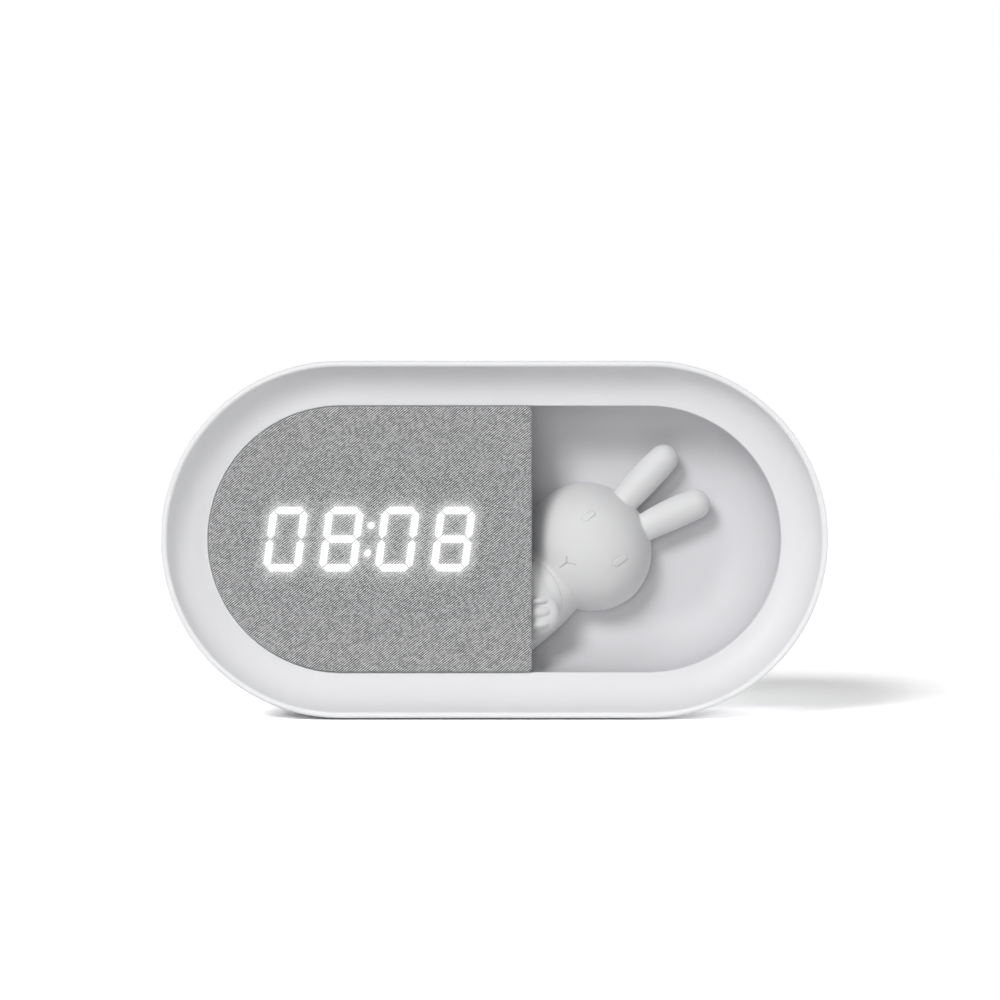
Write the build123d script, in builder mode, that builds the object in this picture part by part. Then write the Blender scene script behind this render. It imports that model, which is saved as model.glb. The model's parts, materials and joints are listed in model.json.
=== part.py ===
from build123d import *
import math
import os

# A bedside clock for a child: a stadium-shaped case, a cloth-covered display in the left part of its
# window and a rabbit night light in the alcove on the right.
# Millimetres. +X is right, +Y is to the back, +Z is up. The origin is on the table under the middle.

os.makedirs("parts", exist_ok=True)

# --- Case -------------------------------------------------------------------------------------------
case_width = 170.0
case_height = 91.0
case_depth = 55.0
case_wall = 2.0
cover_depth = 8.0            # the rear cover's share of the depth
cover_round = 5.0            # rounding of the rear cover's back edge
cover_inner_round = 3.0
parting_chamfer = 0.3        # half of the groove where the two shells meet
rim_width = 1.6
cove_radius = 10.0
window_inset = 11.2          # from the case's outline in to the window's edge
window_lip = 2.0             # thickness of the shell at the window
window_edge_round = 0.3
seat_land = 3.7              # flat ring behind the window that the light tray bears on

# --- Feet -------------------------------------------------------------------------------------------
foot_stand = 0.5             # how far the feet lift the case
foot_sink = 0.5              # how far they are let into it
foot_length = 70.0
foot_width = 7.0
foot_front_y = -17.0
foot_rear_y = 12.0
foot_clearance = 0.1

# --- Light tray -------------------------------------------------------------------------------------
tray_wall = 1.8
tray_flange = 2.7            # how far the seat plate reaches past the window's edge
bowl_step = 0.2              # the bowl's wall stands this far behind the window's edge
rear_room = 27.5             # from the bowl's floor to the case's back face
bowl_round = 14.0
bowl_round_spare = 0.5       # straight wall left in front of the floor's sweep
partition_reach = 11.1       # from the panel's right edge left to the bowl's hidden wall
tray_lug_x = 24.0
tray_lug_width = 4.6
tray_lug_gap = 0.25          # between a lug and the case wall

# --- Display panel ----------------------------------------------------------------------------------
panel_right_x = 9.6
panel_gap = 0.15             # round the panel, inside the window
panel_corner = 1.2
plate_thickness = 2.4
cloth_thickness = 0.7
cloth_edge_round = 0.5
panel_screw_left_inset = 7.65    # from the panel's left end
panel_screw_left_z = 13.0
panel_screw_right_inset = 21.6   # from its right edge
panel_screw_right_z = 24.0
panel_screw_depth = 1.7      # depth of the blind screw holes in the plate

# --- Digits -----------------------------------------------------------------------------------------
digit_height = 16.7
digit_width = 9.8
digit_pitch = 14.35
digit_slant = 7.4
digits_center_z = -0.35      # from the case's axis
segment_width = 1.95
segment_gap = 0.5
segment_clearance = 0.08     # between a light pad and its window
dot_radius = 0.9
dot_spacing = 7.1
figures_shown = (0, 8, 0, 8)
dark_segments = {0: ("middle",), 8: ()}
segment_places = {           # centre in half spans of the digit, and whether the segment is upright
    "top": (0, 1, False),
    "middle": (0, 0, False),
    "bottom": (0, -1, False),
    "upper_left": (-1, 0.5, True),
    "upper_right": (1, 0.5, True),
    "lower_left": (-1, -0.5, True),
    "lower_right": (1, -0.5, True),
}
pad_recess = 0.1             # the lit pads end this far under the cloth's face

# --- Display module ---------------------------------------------------------------------------------
module_width = 56.4
module_height = 24.0
module_clearance = 0.2
module_aisle = 0.7           # between the module and the bowl's hidden wall
carrier_thickness = 0.8
reflector_depth = 5.0
cell_inset = 0.1             # the reflector's cells are narrower than the segments
display_board_height = 34.0
display_post_x = 24.0        # from the digits' centre
display_post_z = 14.7
display_post_radius = 2.3
board_thickness = 1.6
led_length = 1.6
led_width = 0.8
led_height = 0.6

# --- Rabbit figure ----------------------------------------------------------------------------------
figure_gap = 0.15            # between the figure and the bowl
head_from_panel = 15.2       # from the panel's right edge to the head's middle
head_z = -2.3                # from the case's axis
head_rise = 2.0              # the head's middle stands this far in front of the bowl's floor
head_half_width = 17.2       # across the face
head_half_height = 16.0      # from the middle to the crown, and to the front
head_tilt = 35.0             # the crown points this far above +X
figure_wall = 3.5            # at the crown of the hollow head
figure_web = 4.0             # thickness behind the hollow, round the plug's bore
# Places of the other bodies are from the head's middle: right, back and up.
body_place = (-23.6, -1.0, -18.5)
body_half_length = 30.0
body_half_width = 12.2
body_tilt = 38.0
ear_half_length = 12.0
ear_half_width = 4.5
upper_ear_place = (14.0, -4.0, 16.9)
upper_ear_tilt = 46.0
lower_ear_place = (20.6, -4.0, 7.8)
lower_ear_tilt = 24.0
arm_place = (-16.8, -8.0, -10.2)
arm_half_length = 11.0
arm_half_width = 6.2
arm_tilt = -55.0
paw_place = (-13.4, -9.2, -18.1)
paw_half_length = 6.4
paw_half_width = 5.7
paw_tilt = -65.0
toe_right = 1.0              # from the paw's middle to the middle toe
toe_up = 2.0
toe_half_length = 2.4
toe_half_width = 1.25
toe_rise = 2.75              # from one toe to the next
toe_out = 4.6                # from the paw's middle to the toes, to the front
eye_length = 4.3
eye_width = 1.8
eye_spacing = 14.2
eye_height = 4.5             # above the middle of the face
eye_relief = 0.35
plug_radius = 11.0
plug_clearance = 0.15
plug_bore_radius = 9.2
flange_radius = 13.5
flange_thickness = 2.5

# --- Night light ------------------------------------------------------------------------------------
clamp_radius = 19.5
clamp_thickness = 1.5
clamp_bore_radius = 9.4
clamp_screw_circle = 17.0
clamp_screw_count = 3
clamp_screw_turn = 30.0
diffuser_radius = 8.8
diffuser_wall = 1.2
diffuser_reach = 9.0         # how far the dome stands into the head
diffuser_flange_radius = 10.8
diffuser_flange_thickness = 0.8
diffuser_seat_clearance = 0.1
light_board_thickness = 1.2
light_led_circle = 5.0
light_led_count = 6
light_led_size = 2.0

# --- Rear cover and controls ------------------------------------------------------------------------
control_shift = -5.8         # from the digits' middle to the control group's
key_row_z = 15.0
key_pitch = 12.0
key_count = 4
key_radius = 3.5
key_clearance = 0.2
key_travel = 0.5
key_lip = 1.0                # the key's flange reaches this far past its cap
key_flange_thickness = 0.9
key_rest_gap = 0.2           # between the flange and the cover
key_edge_round = 0.6
pocket_depth = 1.2
pocket_floor = 2.0           # thickness of the cover under a pocket
pocket_margin = 2.5
cap_recess = 0.2             # caps and knob end this far under the back face
switch_z = -3.0
switch_travel = 3.0
knob_width = 4.0
knob_height = 3.4
knob_clearance = 0.3
usb_z = -21.0
usb_width = 9.0
usb_height = 3.2
usb_wall = 0.3
usb_recess = 0.5             # the socket's mouth stands this far inside the back face
usb_clearance = 0.3
usb_tongue_width = 6.7
usb_tongue_thickness = 0.7
usb_tongue_recess = 1.5
usb_pin_length = 2.0

# --- Main board -------------------------------------------------------------------------------------
main_board_setback = 9.3     # from the back face to the board's face that carries the switches
main_board_width = 50.0
main_board_height = 54.0
main_post_inset = 3.0
main_post_radius = 2.75
tact_size = 6.0
tact_height = 3.5
plunger_radius = 1.6
plunger_clearance = 0.1
plunger_length = 1.9
plunger_space = 0.1          # left under a pressed plunger
chip_thickness = 1.2
chips = ((-2.0, 6.0, 9.0), (-16.0, 8.0, 6.0), (-16.0, -8.0, 5.0))  # place and edge of each chip
switch_housing_width = 13.0
switch_housing_height = 6.0
switch_housing_depth = 4.0
stem_width = 3.4
stem_height = 2.0
stem_clearance = 0.1

# --- Battery ----------------------------------------------------------------------------------------
battery_shift = -1.8         # from the digits' middle
battery_width = 48.0
battery_height = 34.0
battery_thickness = 8.0
battery_round = 2.0
battery_clearance = 0.3
bracket_thickness = 1.6
bracket_wall_height = 5.4
bracket_ear = 7.0            # the plate reaches this far past the battery, above and below
bracket_post_z = 22.0
bracket_post_radius = 2.75
bracket_post_length = 11.7

# --- Speaker ----------------------------------------------------------------------------------------
speaker_shift = 2.5          # right of the centre of the case's round end
speaker_flange = 40.0
speaker_corner = 4.0
speaker_flange_thickness = 1.2
speaker_screw_offset = 16.5
speaker_post_radius = 2.4
speaker_mouth_radius = 16.5
speaker_throat_radius = 8.0
speaker_basket_depth = 6.5
speaker_basket_wall = 1.0
cone_thickness = 0.4
cone_depth = 4.0
magnet_radius = 10.0
magnet_thickness = 5.0
gasket_radius = 19.0
gasket_thickness = 2.0
grille_hole_radius = 0.9
grille_pitch = 3.2
grille_rings = 4

# --- Fasteners --------------------------------------------------------------------------------------
small_screw = 2.0            # nominal diameters
large_screw = 2.6
head_ratio = 0.95            # head radius to nominal diameter
head_height_ratio = 0.6
cross_ratio = 1.1            # length of the driver's cross to nominal diameter
cross_width_ratio = 0.25
cross_depth_ratio = 0.35
thread_clearance = 0.05
pass_clearance = 0.2         # round a shank that passes through
hole_spare = 0.4             # left under the point of a screw
tray_screw_length = 4.4
panel_screw_length = 3.3
clamp_screw_length = 5.8
display_screw_length = 4.5
bracket_screw_length = 7.0
main_screw_length = 6.0
speaker_screw_length = 4.0
rear_screw_length = 12.0
rear_boss_radius = 3.25
rear_boss_bite = 0.35        # how far a boss runs into the case wall
rear_boss_angle = 50.0
rear_boss_web = 4.0
rear_screw_recess = 7.0
recess_clearance = 0.3

# --- Leads ------------------------------------------------------------------------------------------
ribbon_shift = -13.8         # from the digits' middle
ribbon_width = 8.0
ribbon_thickness = 0.3
ribbon_drop = 29.0           # below the case's axis
ribbon_bend = 3.0
ribbon_socket_height = 3.0
ribbon_socket_depth = 1.6
lead_radius = 0.8
arc_share = 0.45             # share of the shorter run that a lead's arc takes
lead_plug = 3.0              # edge of a lead's plug
battery_lead_z = 8.0
light_lead_z = -2.5
speaker_lead_z = 3.0
lead_aisle_gap = 0.6         # between the bracket and the lead that runs to the back beside it

# --- Derived places ---------------------------------------------------------------------------------
straight = case_width - case_height
case_radius = case_height / 2
axis_height = case_radius + foot_stand
front_y = -case_depth / 2
back_y = case_depth / 2
split_y = back_y - cover_depth
cover_inner_y = back_y - case_wall
inner_radius = case_radius - case_wall
window_radius = case_radius - window_inset
rim_turn_y = front_y + rim_width / 2
cove_start_radius = case_radius - rim_width
cove_center_y = rim_turn_y - math.sqrt(cove_radius**2 - (cove_start_radius - window_radius) ** 2)
window_y = cove_center_y + cove_radius
lip_y = window_y + window_lip
shoulder_y = cove_center_y + math.sqrt((cove_radius + case_wall) ** 2 - (inner_radius - window_radius) ** 2)
floor_y = back_y - rear_room
bowl_radius = window_radius + bowl_step
partition_x = panel_right_x - partition_reach
panel_left_x = panel_gap - straight / 2 - window_radius
panel_screw_left_x = panel_left_x + panel_screw_left_inset
panel_screw_right_x = panel_right_x - panel_screw_right_inset
digits_center_x = partition_x - tray_wall - module_aisle - module_width / 2
battery_x = digits_center_x + battery_shift
control_x = digits_center_x + control_shift
ribbon_x = digits_center_x + ribbon_shift
bracket_right_x = battery_x + battery_width / 2 + battery_clearance + bracket_thickness
lead_aisle_x = bracket_right_x + lead_aisle_gap + lead_radius
speaker_x = straight / 2 + speaker_shift
head_x = panel_right_x + head_from_panel
head_y = floor_y - head_rise
main_board_y = back_y - main_board_setback
seat_plate_back_y = lip_y + tray_wall
lug_radius = inner_radius - tray_lug_gap - tray_lug_width / 2
plate_front_y = lip_y - plate_thickness
cloth_front_y = plate_front_y - cloth_thickness
carrier_back_y = lip_y + carrier_thickness
display_board_y = carrier_back_y + reflector_depth
display_back_y = display_board_y + board_thickness
digit_run = digit_width - segment_width
digit_rise = digit_height - segment_width
rear_boss_circle = inner_radius - rear_boss_radius + rear_boss_bite
flange_back_y = floor_y + tray_wall + flange_thickness
clamp_back_y = flange_back_y + clamp_thickness
light_board_back_y = clamp_back_y + light_board_thickness
pocket_y = back_y - pocket_depth
pad_inner_y = pocket_y - pocket_floor
key_flange_y = pad_inner_y - key_rest_gap
key_base_y = key_flange_y - key_flange_thickness
plunger_base_y = key_base_y - plunger_length
main_board_front_y = main_board_y - board_thickness
bracket_y = seat_plate_back_y + bracket_post_length
battery_y = bracket_y + bracket_thickness
speaker_flange_y = cover_inner_y - gasket_thickness
speaker_front_y = speaker_flange_y - speaker_flange_thickness
magnet_y = speaker_front_y - speaker_basket_depth


def facing(y):
    """A sketch plane across the clock at depth y: local x is +X, local y is +Z from the case's axis."""
    return Plane(origin=(0, y, axis_height), x_dir=(1, 0, 0), z_dir=(0, -1, 0))


def block(outline_y, front):
    """Extrude the sketch drawn at outline_y forward to the depth front."""
    extrude(amount=outline_y - front)


def cut(outline_y, front):
    """Cut with the sketch drawn at outline_y, forward to the depth front."""
    extrude(amount=outline_y - front, mode=Mode.SUBTRACT)


def stadium(radius):
    """A stadium about the case's axis."""
    SlotOverall(straight + 2 * radius, 2 * radius)


def round_bars(points, radius, back, front, mode=Mode.ADD):
    """Round bars or holes parallel to Y at the points, from the depth back forward to front."""
    with BuildSketch(facing(back)) as rounds:
        with Locations(*points):
            Circle(radius)
    extrude(rounds.sketch, amount=back - front, mode=mode)


def boxes(points, width, height, back, front, mode=Mode.ADD):
    """Rectangular blocks or holes centred on the points, from the depth back forward to front."""
    with BuildSketch(facing(back)) as blocks:
        with Locations(*points):
            Rectangle(width, height)
    extrude(blocks.sketch, amount=back - front, mode=mode)


def screws(points, seat, size, length, side):
    """Pan-head screws with a driver's cross: side is 1 for heads at the back, -1 for the front."""
    head = size * head_height_ratio
    with BuildSketch(facing(seat)) as heads:
        with Locations(*points):
            Circle(size * head_ratio)
    extrude(heads.sketch, amount=-side * head)
    with BuildSketch(facing(seat)) as shanks:
        with Locations(*points):
            Circle(size / 2)
    extrude(shanks.sketch, amount=side * length)
    with BuildSketch(facing(seat + side * head)) as crosses:
        with Locations(*points):
            Rectangle(size * cross_ratio, size * cross_width_ratio)
            Rectangle(size * cross_width_ratio, size * cross_ratio)
    extrude(crosses.sketch, amount=side * size * cross_depth_ratio, mode=Mode.SUBTRACT)


def screw_holes(points, mouth, size, depth, side):
    """Blind holes for self-cutting screws, from the depth mouth; side is as for screws."""
    with BuildSketch(facing(mouth)) as mouths:
        with Locations(*points):
            Circle(size / 2 + thread_clearance)
    extrude(mouths.sketch, amount=side * depth, mode=Mode.SUBTRACT)


def corners(center, offset_x, offset_z):
    """The four corners of a rectangle about a centre."""
    return [(center[0] + sx * offset_x, center[1] + sz * offset_z) for sx in (-1, 1) for sz in (-1, 1)]


def finish(builder, name):
    """Label a finished piece and write it."""
    builder.part.label = name
    export_step(builder.part, f"parts/{name}.step")


# --- Points that several pieces share ---------------------------------------------------------------
rear_boss_x = straight / 2 + rear_boss_circle * math.cos(math.radians(rear_boss_angle))
rear_boss_z = rear_boss_circle * math.sin(math.radians(rear_boss_angle))
rear_boss_points = corners((0, 0), rear_boss_x, rear_boss_z)
tray_lug_points = corners((0, 0), tray_lug_x, lug_radius)
panel_screw_points = [(panel_screw_left_x, side * panel_screw_left_z) for side in (-1, 1)]
panel_screw_points += [(panel_screw_right_x, side * panel_screw_right_z) for side in (-1, 1)]
display_post_points = corners((digits_center_x, 0), display_post_x, display_post_z)
bracket_post_points = [(battery_x, -bracket_post_z), (battery_x, bracket_post_z)]
main_post_points = corners(
    (control_x, 0), main_board_width / 2 - main_post_inset, main_board_height / 2 - main_post_inset
)
speaker_screw_points = corners((speaker_x, 0), speaker_screw_offset, speaker_screw_offset)
key_points = [
    (control_x + (index - (key_count - 1) / 2) * key_pitch, key_row_z) for index in range(key_count)
]
head_center = (head_x, head_z)
clamp_screw_points = []
for turn in range(clamp_screw_count):
    turned = math.radians(clamp_screw_turn + turn * 360 / clamp_screw_count)
    circle_x = clamp_screw_circle * math.cos(turned)
    circle_z = clamp_screw_circle * math.sin(turned)
    clamp_screw_points.append((head_x + circle_x, head_z + circle_z))

# === Front shell: rim, cove, window and side wall ===================================================
end_plane = Plane(origin=(straight / 2, 0, axis_height), x_dir=(0, 1, 0), z_dir=(1, 0, 0))
end_axis = Axis((straight / 2, 0, axis_height), (0, 1, 0))
cove_angle = math.degrees(math.asin((cove_start_radius - window_radius) / cove_radius))

with BuildPart() as front_shell:
    # The wall's section at the right end: local x is depth, local y is the distance from the axis.
    with BuildSketch(end_plane) as shell_section:
        with BuildLine():
            Line((split_y, case_radius), (rim_turn_y, case_radius))
            CenterArc((rim_turn_y, case_radius - rim_width / 2), rim_width / 2, 90, 180)
            CenterArc((cove_center_y, window_radius), cove_radius, 0, cove_angle)
            Polyline(
                (window_y, window_radius),
                (lip_y, window_radius),
                (lip_y, window_radius + seat_land),
                (shoulder_y, inner_radius),
                (split_y, inner_radius),
                (split_y, case_radius),
            )
        make_face()
        window_edge = shell_section.vertices().sort_by_distance((window_y, window_radius))[0]
        fillet(window_edge, window_edge_round)
        parting_edge = shell_section.vertices().sort_by_distance((split_y, case_radius))[0]
        chamfer(parting_edge, parting_chamfer)
    # Half a straight and a quarter turn, mirrored both ways, carry it round the stadium.
    extrude(amount=-straight / 2)
    revolve(shell_section.sketch, axis=end_axis, revolution_arc=90)
    mirror(about=Plane.YZ)
    mirror(about=Plane.XY.offset(axis_height))
    # Bosses for the rear screws, each tied to the side wall by a web.
    round_bars(rear_boss_points, rear_boss_radius, split_y, lip_y)
    web_length = rear_boss_radius + case_wall / 2
    for sign_x in (-1, 1):
        for sign_z in (-1, 1):
            web_angle = math.degrees(math.atan2(sign_z * rear_boss_z, sign_x * (rear_boss_x - straight / 2)))
            with BuildSketch(facing(split_y)):
                with Locations(Location((sign_x * rear_boss_x, sign_z * rear_boss_z), web_angle)):
                    Rectangle(web_length, rear_boss_web, align=(Align.MIN, Align.CENTER))
            block(split_y, lip_y)
    screw_holes(rear_boss_points, split_y, large_screw, rear_screw_length, 1)
    # Short bosses behind the cove for the light tray.
    round_bars(tray_lug_points, tray_lug_width / 2, lip_y, lip_y - window_lip - tray_wall / 2)
    tray_hole_depth = tray_screw_length - tray_wall + hole_spare / 2
    screw_holes(tray_lug_points, lip_y, small_screw, tray_hole_depth, 1)
    # Pockets for the feet in the flat underside.
    with BuildSketch(Plane.XY.offset(foot_stand)):
        with Locations((0, foot_front_y), (0, foot_rear_y)):
            SlotOverall(foot_length + 2 * foot_clearance, foot_width + 2 * foot_clearance)
    extrude(amount=foot_sink, mode=Mode.SUBTRACT)
finish(front_shell, "front_shell")

# === Feet: two rubber strips ========================================================================
with BuildPart() as feet:
    with BuildSketch(Plane.XY):
        with Locations((0, foot_front_y), (0, foot_rear_y)):
            SlotOverall(foot_length, foot_width)
    extrude(amount=foot_stand + foot_sink)
finish(feet, "feet")


# === Light tray: bowl, partition and seat plate =====================================================
def bowl_space(grow, front):
    """The alcove's room as a solid, grown or shrunk all round, open to the depth front."""
    with BuildPart(mode=Mode.PRIVATE) as space:
        with BuildSketch(facing(floor_y + grow)):
            stadium(bowl_radius + grow)
            with Locations((partition_x - grow, 0)):
                Rectangle(case_width, case_height, align=(Align.MAX, Align.CENTER), mode=Mode.SUBTRACT)
        block(floor_y + grow, front)
        # The floor meets the round and the long walls in a wide sweep, but not the hidden partition.
        floor_edges = space.faces().sort_by(Axis.Y)[-1].edges().sort_by(Axis.X)[1:]
        fillet(floor_edges, min(bowl_round, floor_y - lip_y - bowl_round_spare) + grow)
    return space.part


bowl_outside = bowl_space(tray_wall, lip_y)
bowl_inside = bowl_space(0, front_y)
figure_room = bowl_space(-figure_gap, front_y)

with BuildPart() as light_tray:
    with BuildSketch(facing(seat_plate_back_y)):
        stadium(window_radius + tray_flange)
        for sign_z in (-1, 1):
            with Locations((-tray_lug_x, sign_z * lug_radius), (tray_lug_x, sign_z * lug_radius)):
                Circle(tray_lug_width / 2)
                Rectangle(
                    tray_lug_width,
                    lug_radius - window_radius,
                    align=(Align.CENTER, Align.MAX if sign_z > 0 else Align.MIN),
                )
    block(seat_plate_back_y, lip_y)
    add(bowl_outside)
    add(bowl_inside, mode=Mode.SUBTRACT)
    # Opening for the display module.
    with BuildSketch(facing(seat_plate_back_y)):
        with Locations((digits_center_x, 0)):
            Rectangle(module_width + 2 * module_clearance, module_height + 2 * module_clearance)
    cut(seat_plate_back_y, lip_y)
    # Posts that carry the display board and the battery bracket.
    round_bars(display_post_points, display_post_radius, display_board_y, seat_plate_back_y)
    round_bars(bracket_post_points, bracket_post_radius, bracket_y, seat_plate_back_y)
    display_hole_depth = display_screw_length - board_thickness + hole_spare
    bracket_hole_depth = bracket_screw_length - bracket_thickness + hole_spare
    screw_holes(display_post_points, display_board_y, small_screw, display_hole_depth, 1)
    screw_holes(bracket_post_points, bracket_y, small_screw, bracket_hole_depth, 1)
    # The figure's plug passes through the floor, and three bosses take its clamp ring.
    round_bars(clamp_screw_points, small_screw + thread_clearance, flange_back_y, floor_y + tray_wall / 2)
    clamp_hole_depth = clamp_screw_length - clamp_thickness - light_board_thickness + hole_spare
    screw_holes(clamp_screw_points, flange_back_y, small_screw, clamp_hole_depth, 1)
    round_bars([head_center], plug_radius + plug_clearance, flange_back_y, front_y, mode=Mode.SUBTRACT)
    # Clearance holes at the lugs and behind the panel.
    pass_radius = small_screw / 2 + pass_clearance
    round_bars(tray_lug_points, pass_radius, seat_plate_back_y, lip_y, mode=Mode.SUBTRACT)
    round_bars(panel_screw_points, pass_radius, seat_plate_back_y, lip_y, mode=Mode.SUBTRACT)
finish(light_tray, "light_tray")

with BuildPart() as tray_screws:
    screws(tray_lug_points, seat_plate_back_y, small_screw, tray_screw_length, 1)
finish(tray_screws, "tray_screws")


# === Display panel and its cloth ====================================================================
def panel_outline(inset):
    """The panel's face: the window's stadium cut off straight on the right, inset all round."""
    stadium(window_radius - panel_gap - inset)
    with Locations((panel_right_x - inset, 0)):
        Rectangle(case_width, case_height, align=(Align.MIN, Align.CENTER), mode=Mode.SUBTRACT)


def lean(x, z):
    """Slant a point of a digit to the right with its height."""
    return (x + z * math.tan(math.radians(digit_slant)), z)


def segment_outline(place, grow):
    """A six-sided segment with pointed ends, leaning with its digit and grown all round."""
    place_x, place_z, upright = place
    span = digit_rise / 2 if upright else digit_run
    tip = (span - segment_gap) / 2 + grow * math.sqrt(2)
    half = segment_width / 2 + grow
    bend = tip - half
    outline = [(-tip, 0), (-bend, half), (bend, half), (tip, 0), (bend, -half), (-bend, -half)]
    if upright:
        outline = [(across, along) for along, across in outline]
    center_x = place_x * digit_run / 2
    center_z = place_z * digit_rise / 2
    return [lean(center_x + x, center_z + z) for x, z in outline]


def digit_shapes(grow, lit_only=False):
    """Draw every segment of the four digits and the colon's dots."""
    for column, figure in enumerate(figures_shown):
        digit_x = digits_center_x + (column - (len(figures_shown) - 1) / 2) * digit_pitch
        for name, place in segment_places.items():
            if lit_only and name in dark_segments[figure]:
                continue
            with Locations((digit_x, digits_center_z)):
                Polygon(*segment_outline(place, grow), align=None)
    for side in (-1, 1):
        dot_x, dot_z = lean(0, side * dot_spacing / 2)
        with Locations((digits_center_x + dot_x, digits_center_z + dot_z)):
            Circle(dot_radius + grow)


with BuildPart() as display_panel:
    with BuildSketch(facing(lip_y)) as plate_face:
        panel_outline(cloth_thickness)
        fillet(plate_face.vertices().sort_by(Axis.X)[-2:], panel_corner - cloth_thickness)
    block(lip_y, plate_front_y)
    with BuildSketch(facing(lip_y)):
        digit_shapes(segment_clearance)
    cut(lip_y, plate_front_y)
    screw_holes(panel_screw_points, lip_y, small_screw, panel_screw_depth, 1)
finish(display_panel, "display_panel")

with BuildPart() as fabric_cover:
    with BuildSketch(facing(lip_y)) as cloth_face:
        panel_outline(0)
        fillet(cloth_face.vertices().sort_by(Axis.X)[-2:], panel_corner)
    block(lip_y, cloth_front_y)
    fillet(fabric_cover.faces().sort_by(Axis.Y)[0].edges(), cloth_edge_round)
    with BuildSketch(facing(lip_y)) as plate_space:
        panel_outline(cloth_thickness)
        fillet(plate_space.vertices().sort_by(Axis.X)[-2:], panel_corner - cloth_thickness)
    cut(lip_y, plate_front_y)
    # The weave lets light through at the lit segments, which are drawn as windows.
    with BuildSketch(facing(plate_front_y)):
        digit_shapes(segment_clearance, lit_only=True)
    cut(plate_front_y, cloth_front_y)
finish(fabric_cover, "fabric_cover")

with BuildPart() as panel_screws:
    screws(panel_screw_points, seat_plate_back_y, small_screw, panel_screw_length, 1)
finish(panel_screws, "panel_screws")

# === Display module: light guide, reflector, board and diodes =======================================
with BuildPart() as digit_light_guide:
    with BuildSketch(facing(carrier_back_y)):
        with Locations((digits_center_x, 0)):
            Rectangle(module_width, module_height)
    block(carrier_back_y, lip_y)
    with BuildSketch(facing(lip_y)):
        digit_shapes(0)
    block(lip_y, plate_front_y)
    with BuildSketch(facing(plate_front_y)):
        digit_shapes(0, lit_only=True)
    block(plate_front_y, cloth_front_y + pad_recess)
finish(digit_light_guide, "digit_light_guide")

with BuildPart() as segment_reflector:
    with BuildSketch(facing(display_board_y)):
        with Locations((digits_center_x, 0)):
            Rectangle(module_width, module_height)
    block(display_board_y, carrier_back_y)
    with BuildSketch(facing(display_board_y)):
        digit_shapes(-cell_inset)
    cut(display_board_y, carrier_back_y)
finish(segment_reflector, "segment_reflector")

with BuildPart() as display_board:
    with BuildSketch(facing(display_back_y)):
        with Locations((digits_center_x, 0)):
            Rectangle(module_width, display_board_height)
        with Locations(*display_post_points):
            Circle(pass_radius, mode=Mode.SUBTRACT)
    block(display_back_y, display_board_y)
finish(display_board, "display_board")

with BuildPart() as display_leds:
    with BuildSketch(facing(display_board_y)):
        for column in range(len(figures_shown)):
            digit_x = digits_center_x + (column - (len(figures_shown) - 1) / 2) * digit_pitch
            for place_x, place_z, upright in segment_places.values():
                led_x, led_z = lean(place_x * digit_run / 2, place_z * digit_rise / 2)
                with Locations(Location((digit_x + led_x, digits_center_z + led_z), 90 if upright else 0)):
                    Rectangle(led_length, led_width)
        for side in (-1, 1):
            dot_x, dot_z = lean(0, side * dot_spacing / 2)
            with Locations((digits_center_x + dot_x, digits_center_z + dot_z)):
                Rectangle(led_width, led_width)
    block(display_board_y, display_board_y - led_height)
finish(display_leds, "display_leds")

with BuildPart() as display_screws:
    screws(display_post_points, display_back_y, small_screw, display_screw_length, 1)
finish(display_screws, "display_screws")


# === Rabbit figure ==================================================================================
def spheroid(place, tilt, half_length, half_width):
    """A round body, longest along a line that rises by tilt from +X; its place is from the head's middle."""
    center = (head_x + place[0], head_y + place[1], axis_height + head_z + place[2])
    along = (math.cos(math.radians(tilt)), 0, math.sin(math.radians(tilt)))
    ball = Sphere(1, mode=Mode.PRIVATE)
    egg = scale(ball, by=(half_length, half_width, half_width), mode=Mode.PRIVATE)
    add(Plane(origin=center, x_dir=along, z_dir=(0, -1, 0)).location * egg)


def face_point(up, across):
    """A point of the face, measured towards the crown and towards the lower ear's side."""
    tilt = math.radians(head_tilt)
    return (
        head_x + up * math.cos(tilt) + across * math.sin(tilt),
        head_z + up * math.sin(tilt) - across * math.cos(tilt),
    )


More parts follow.
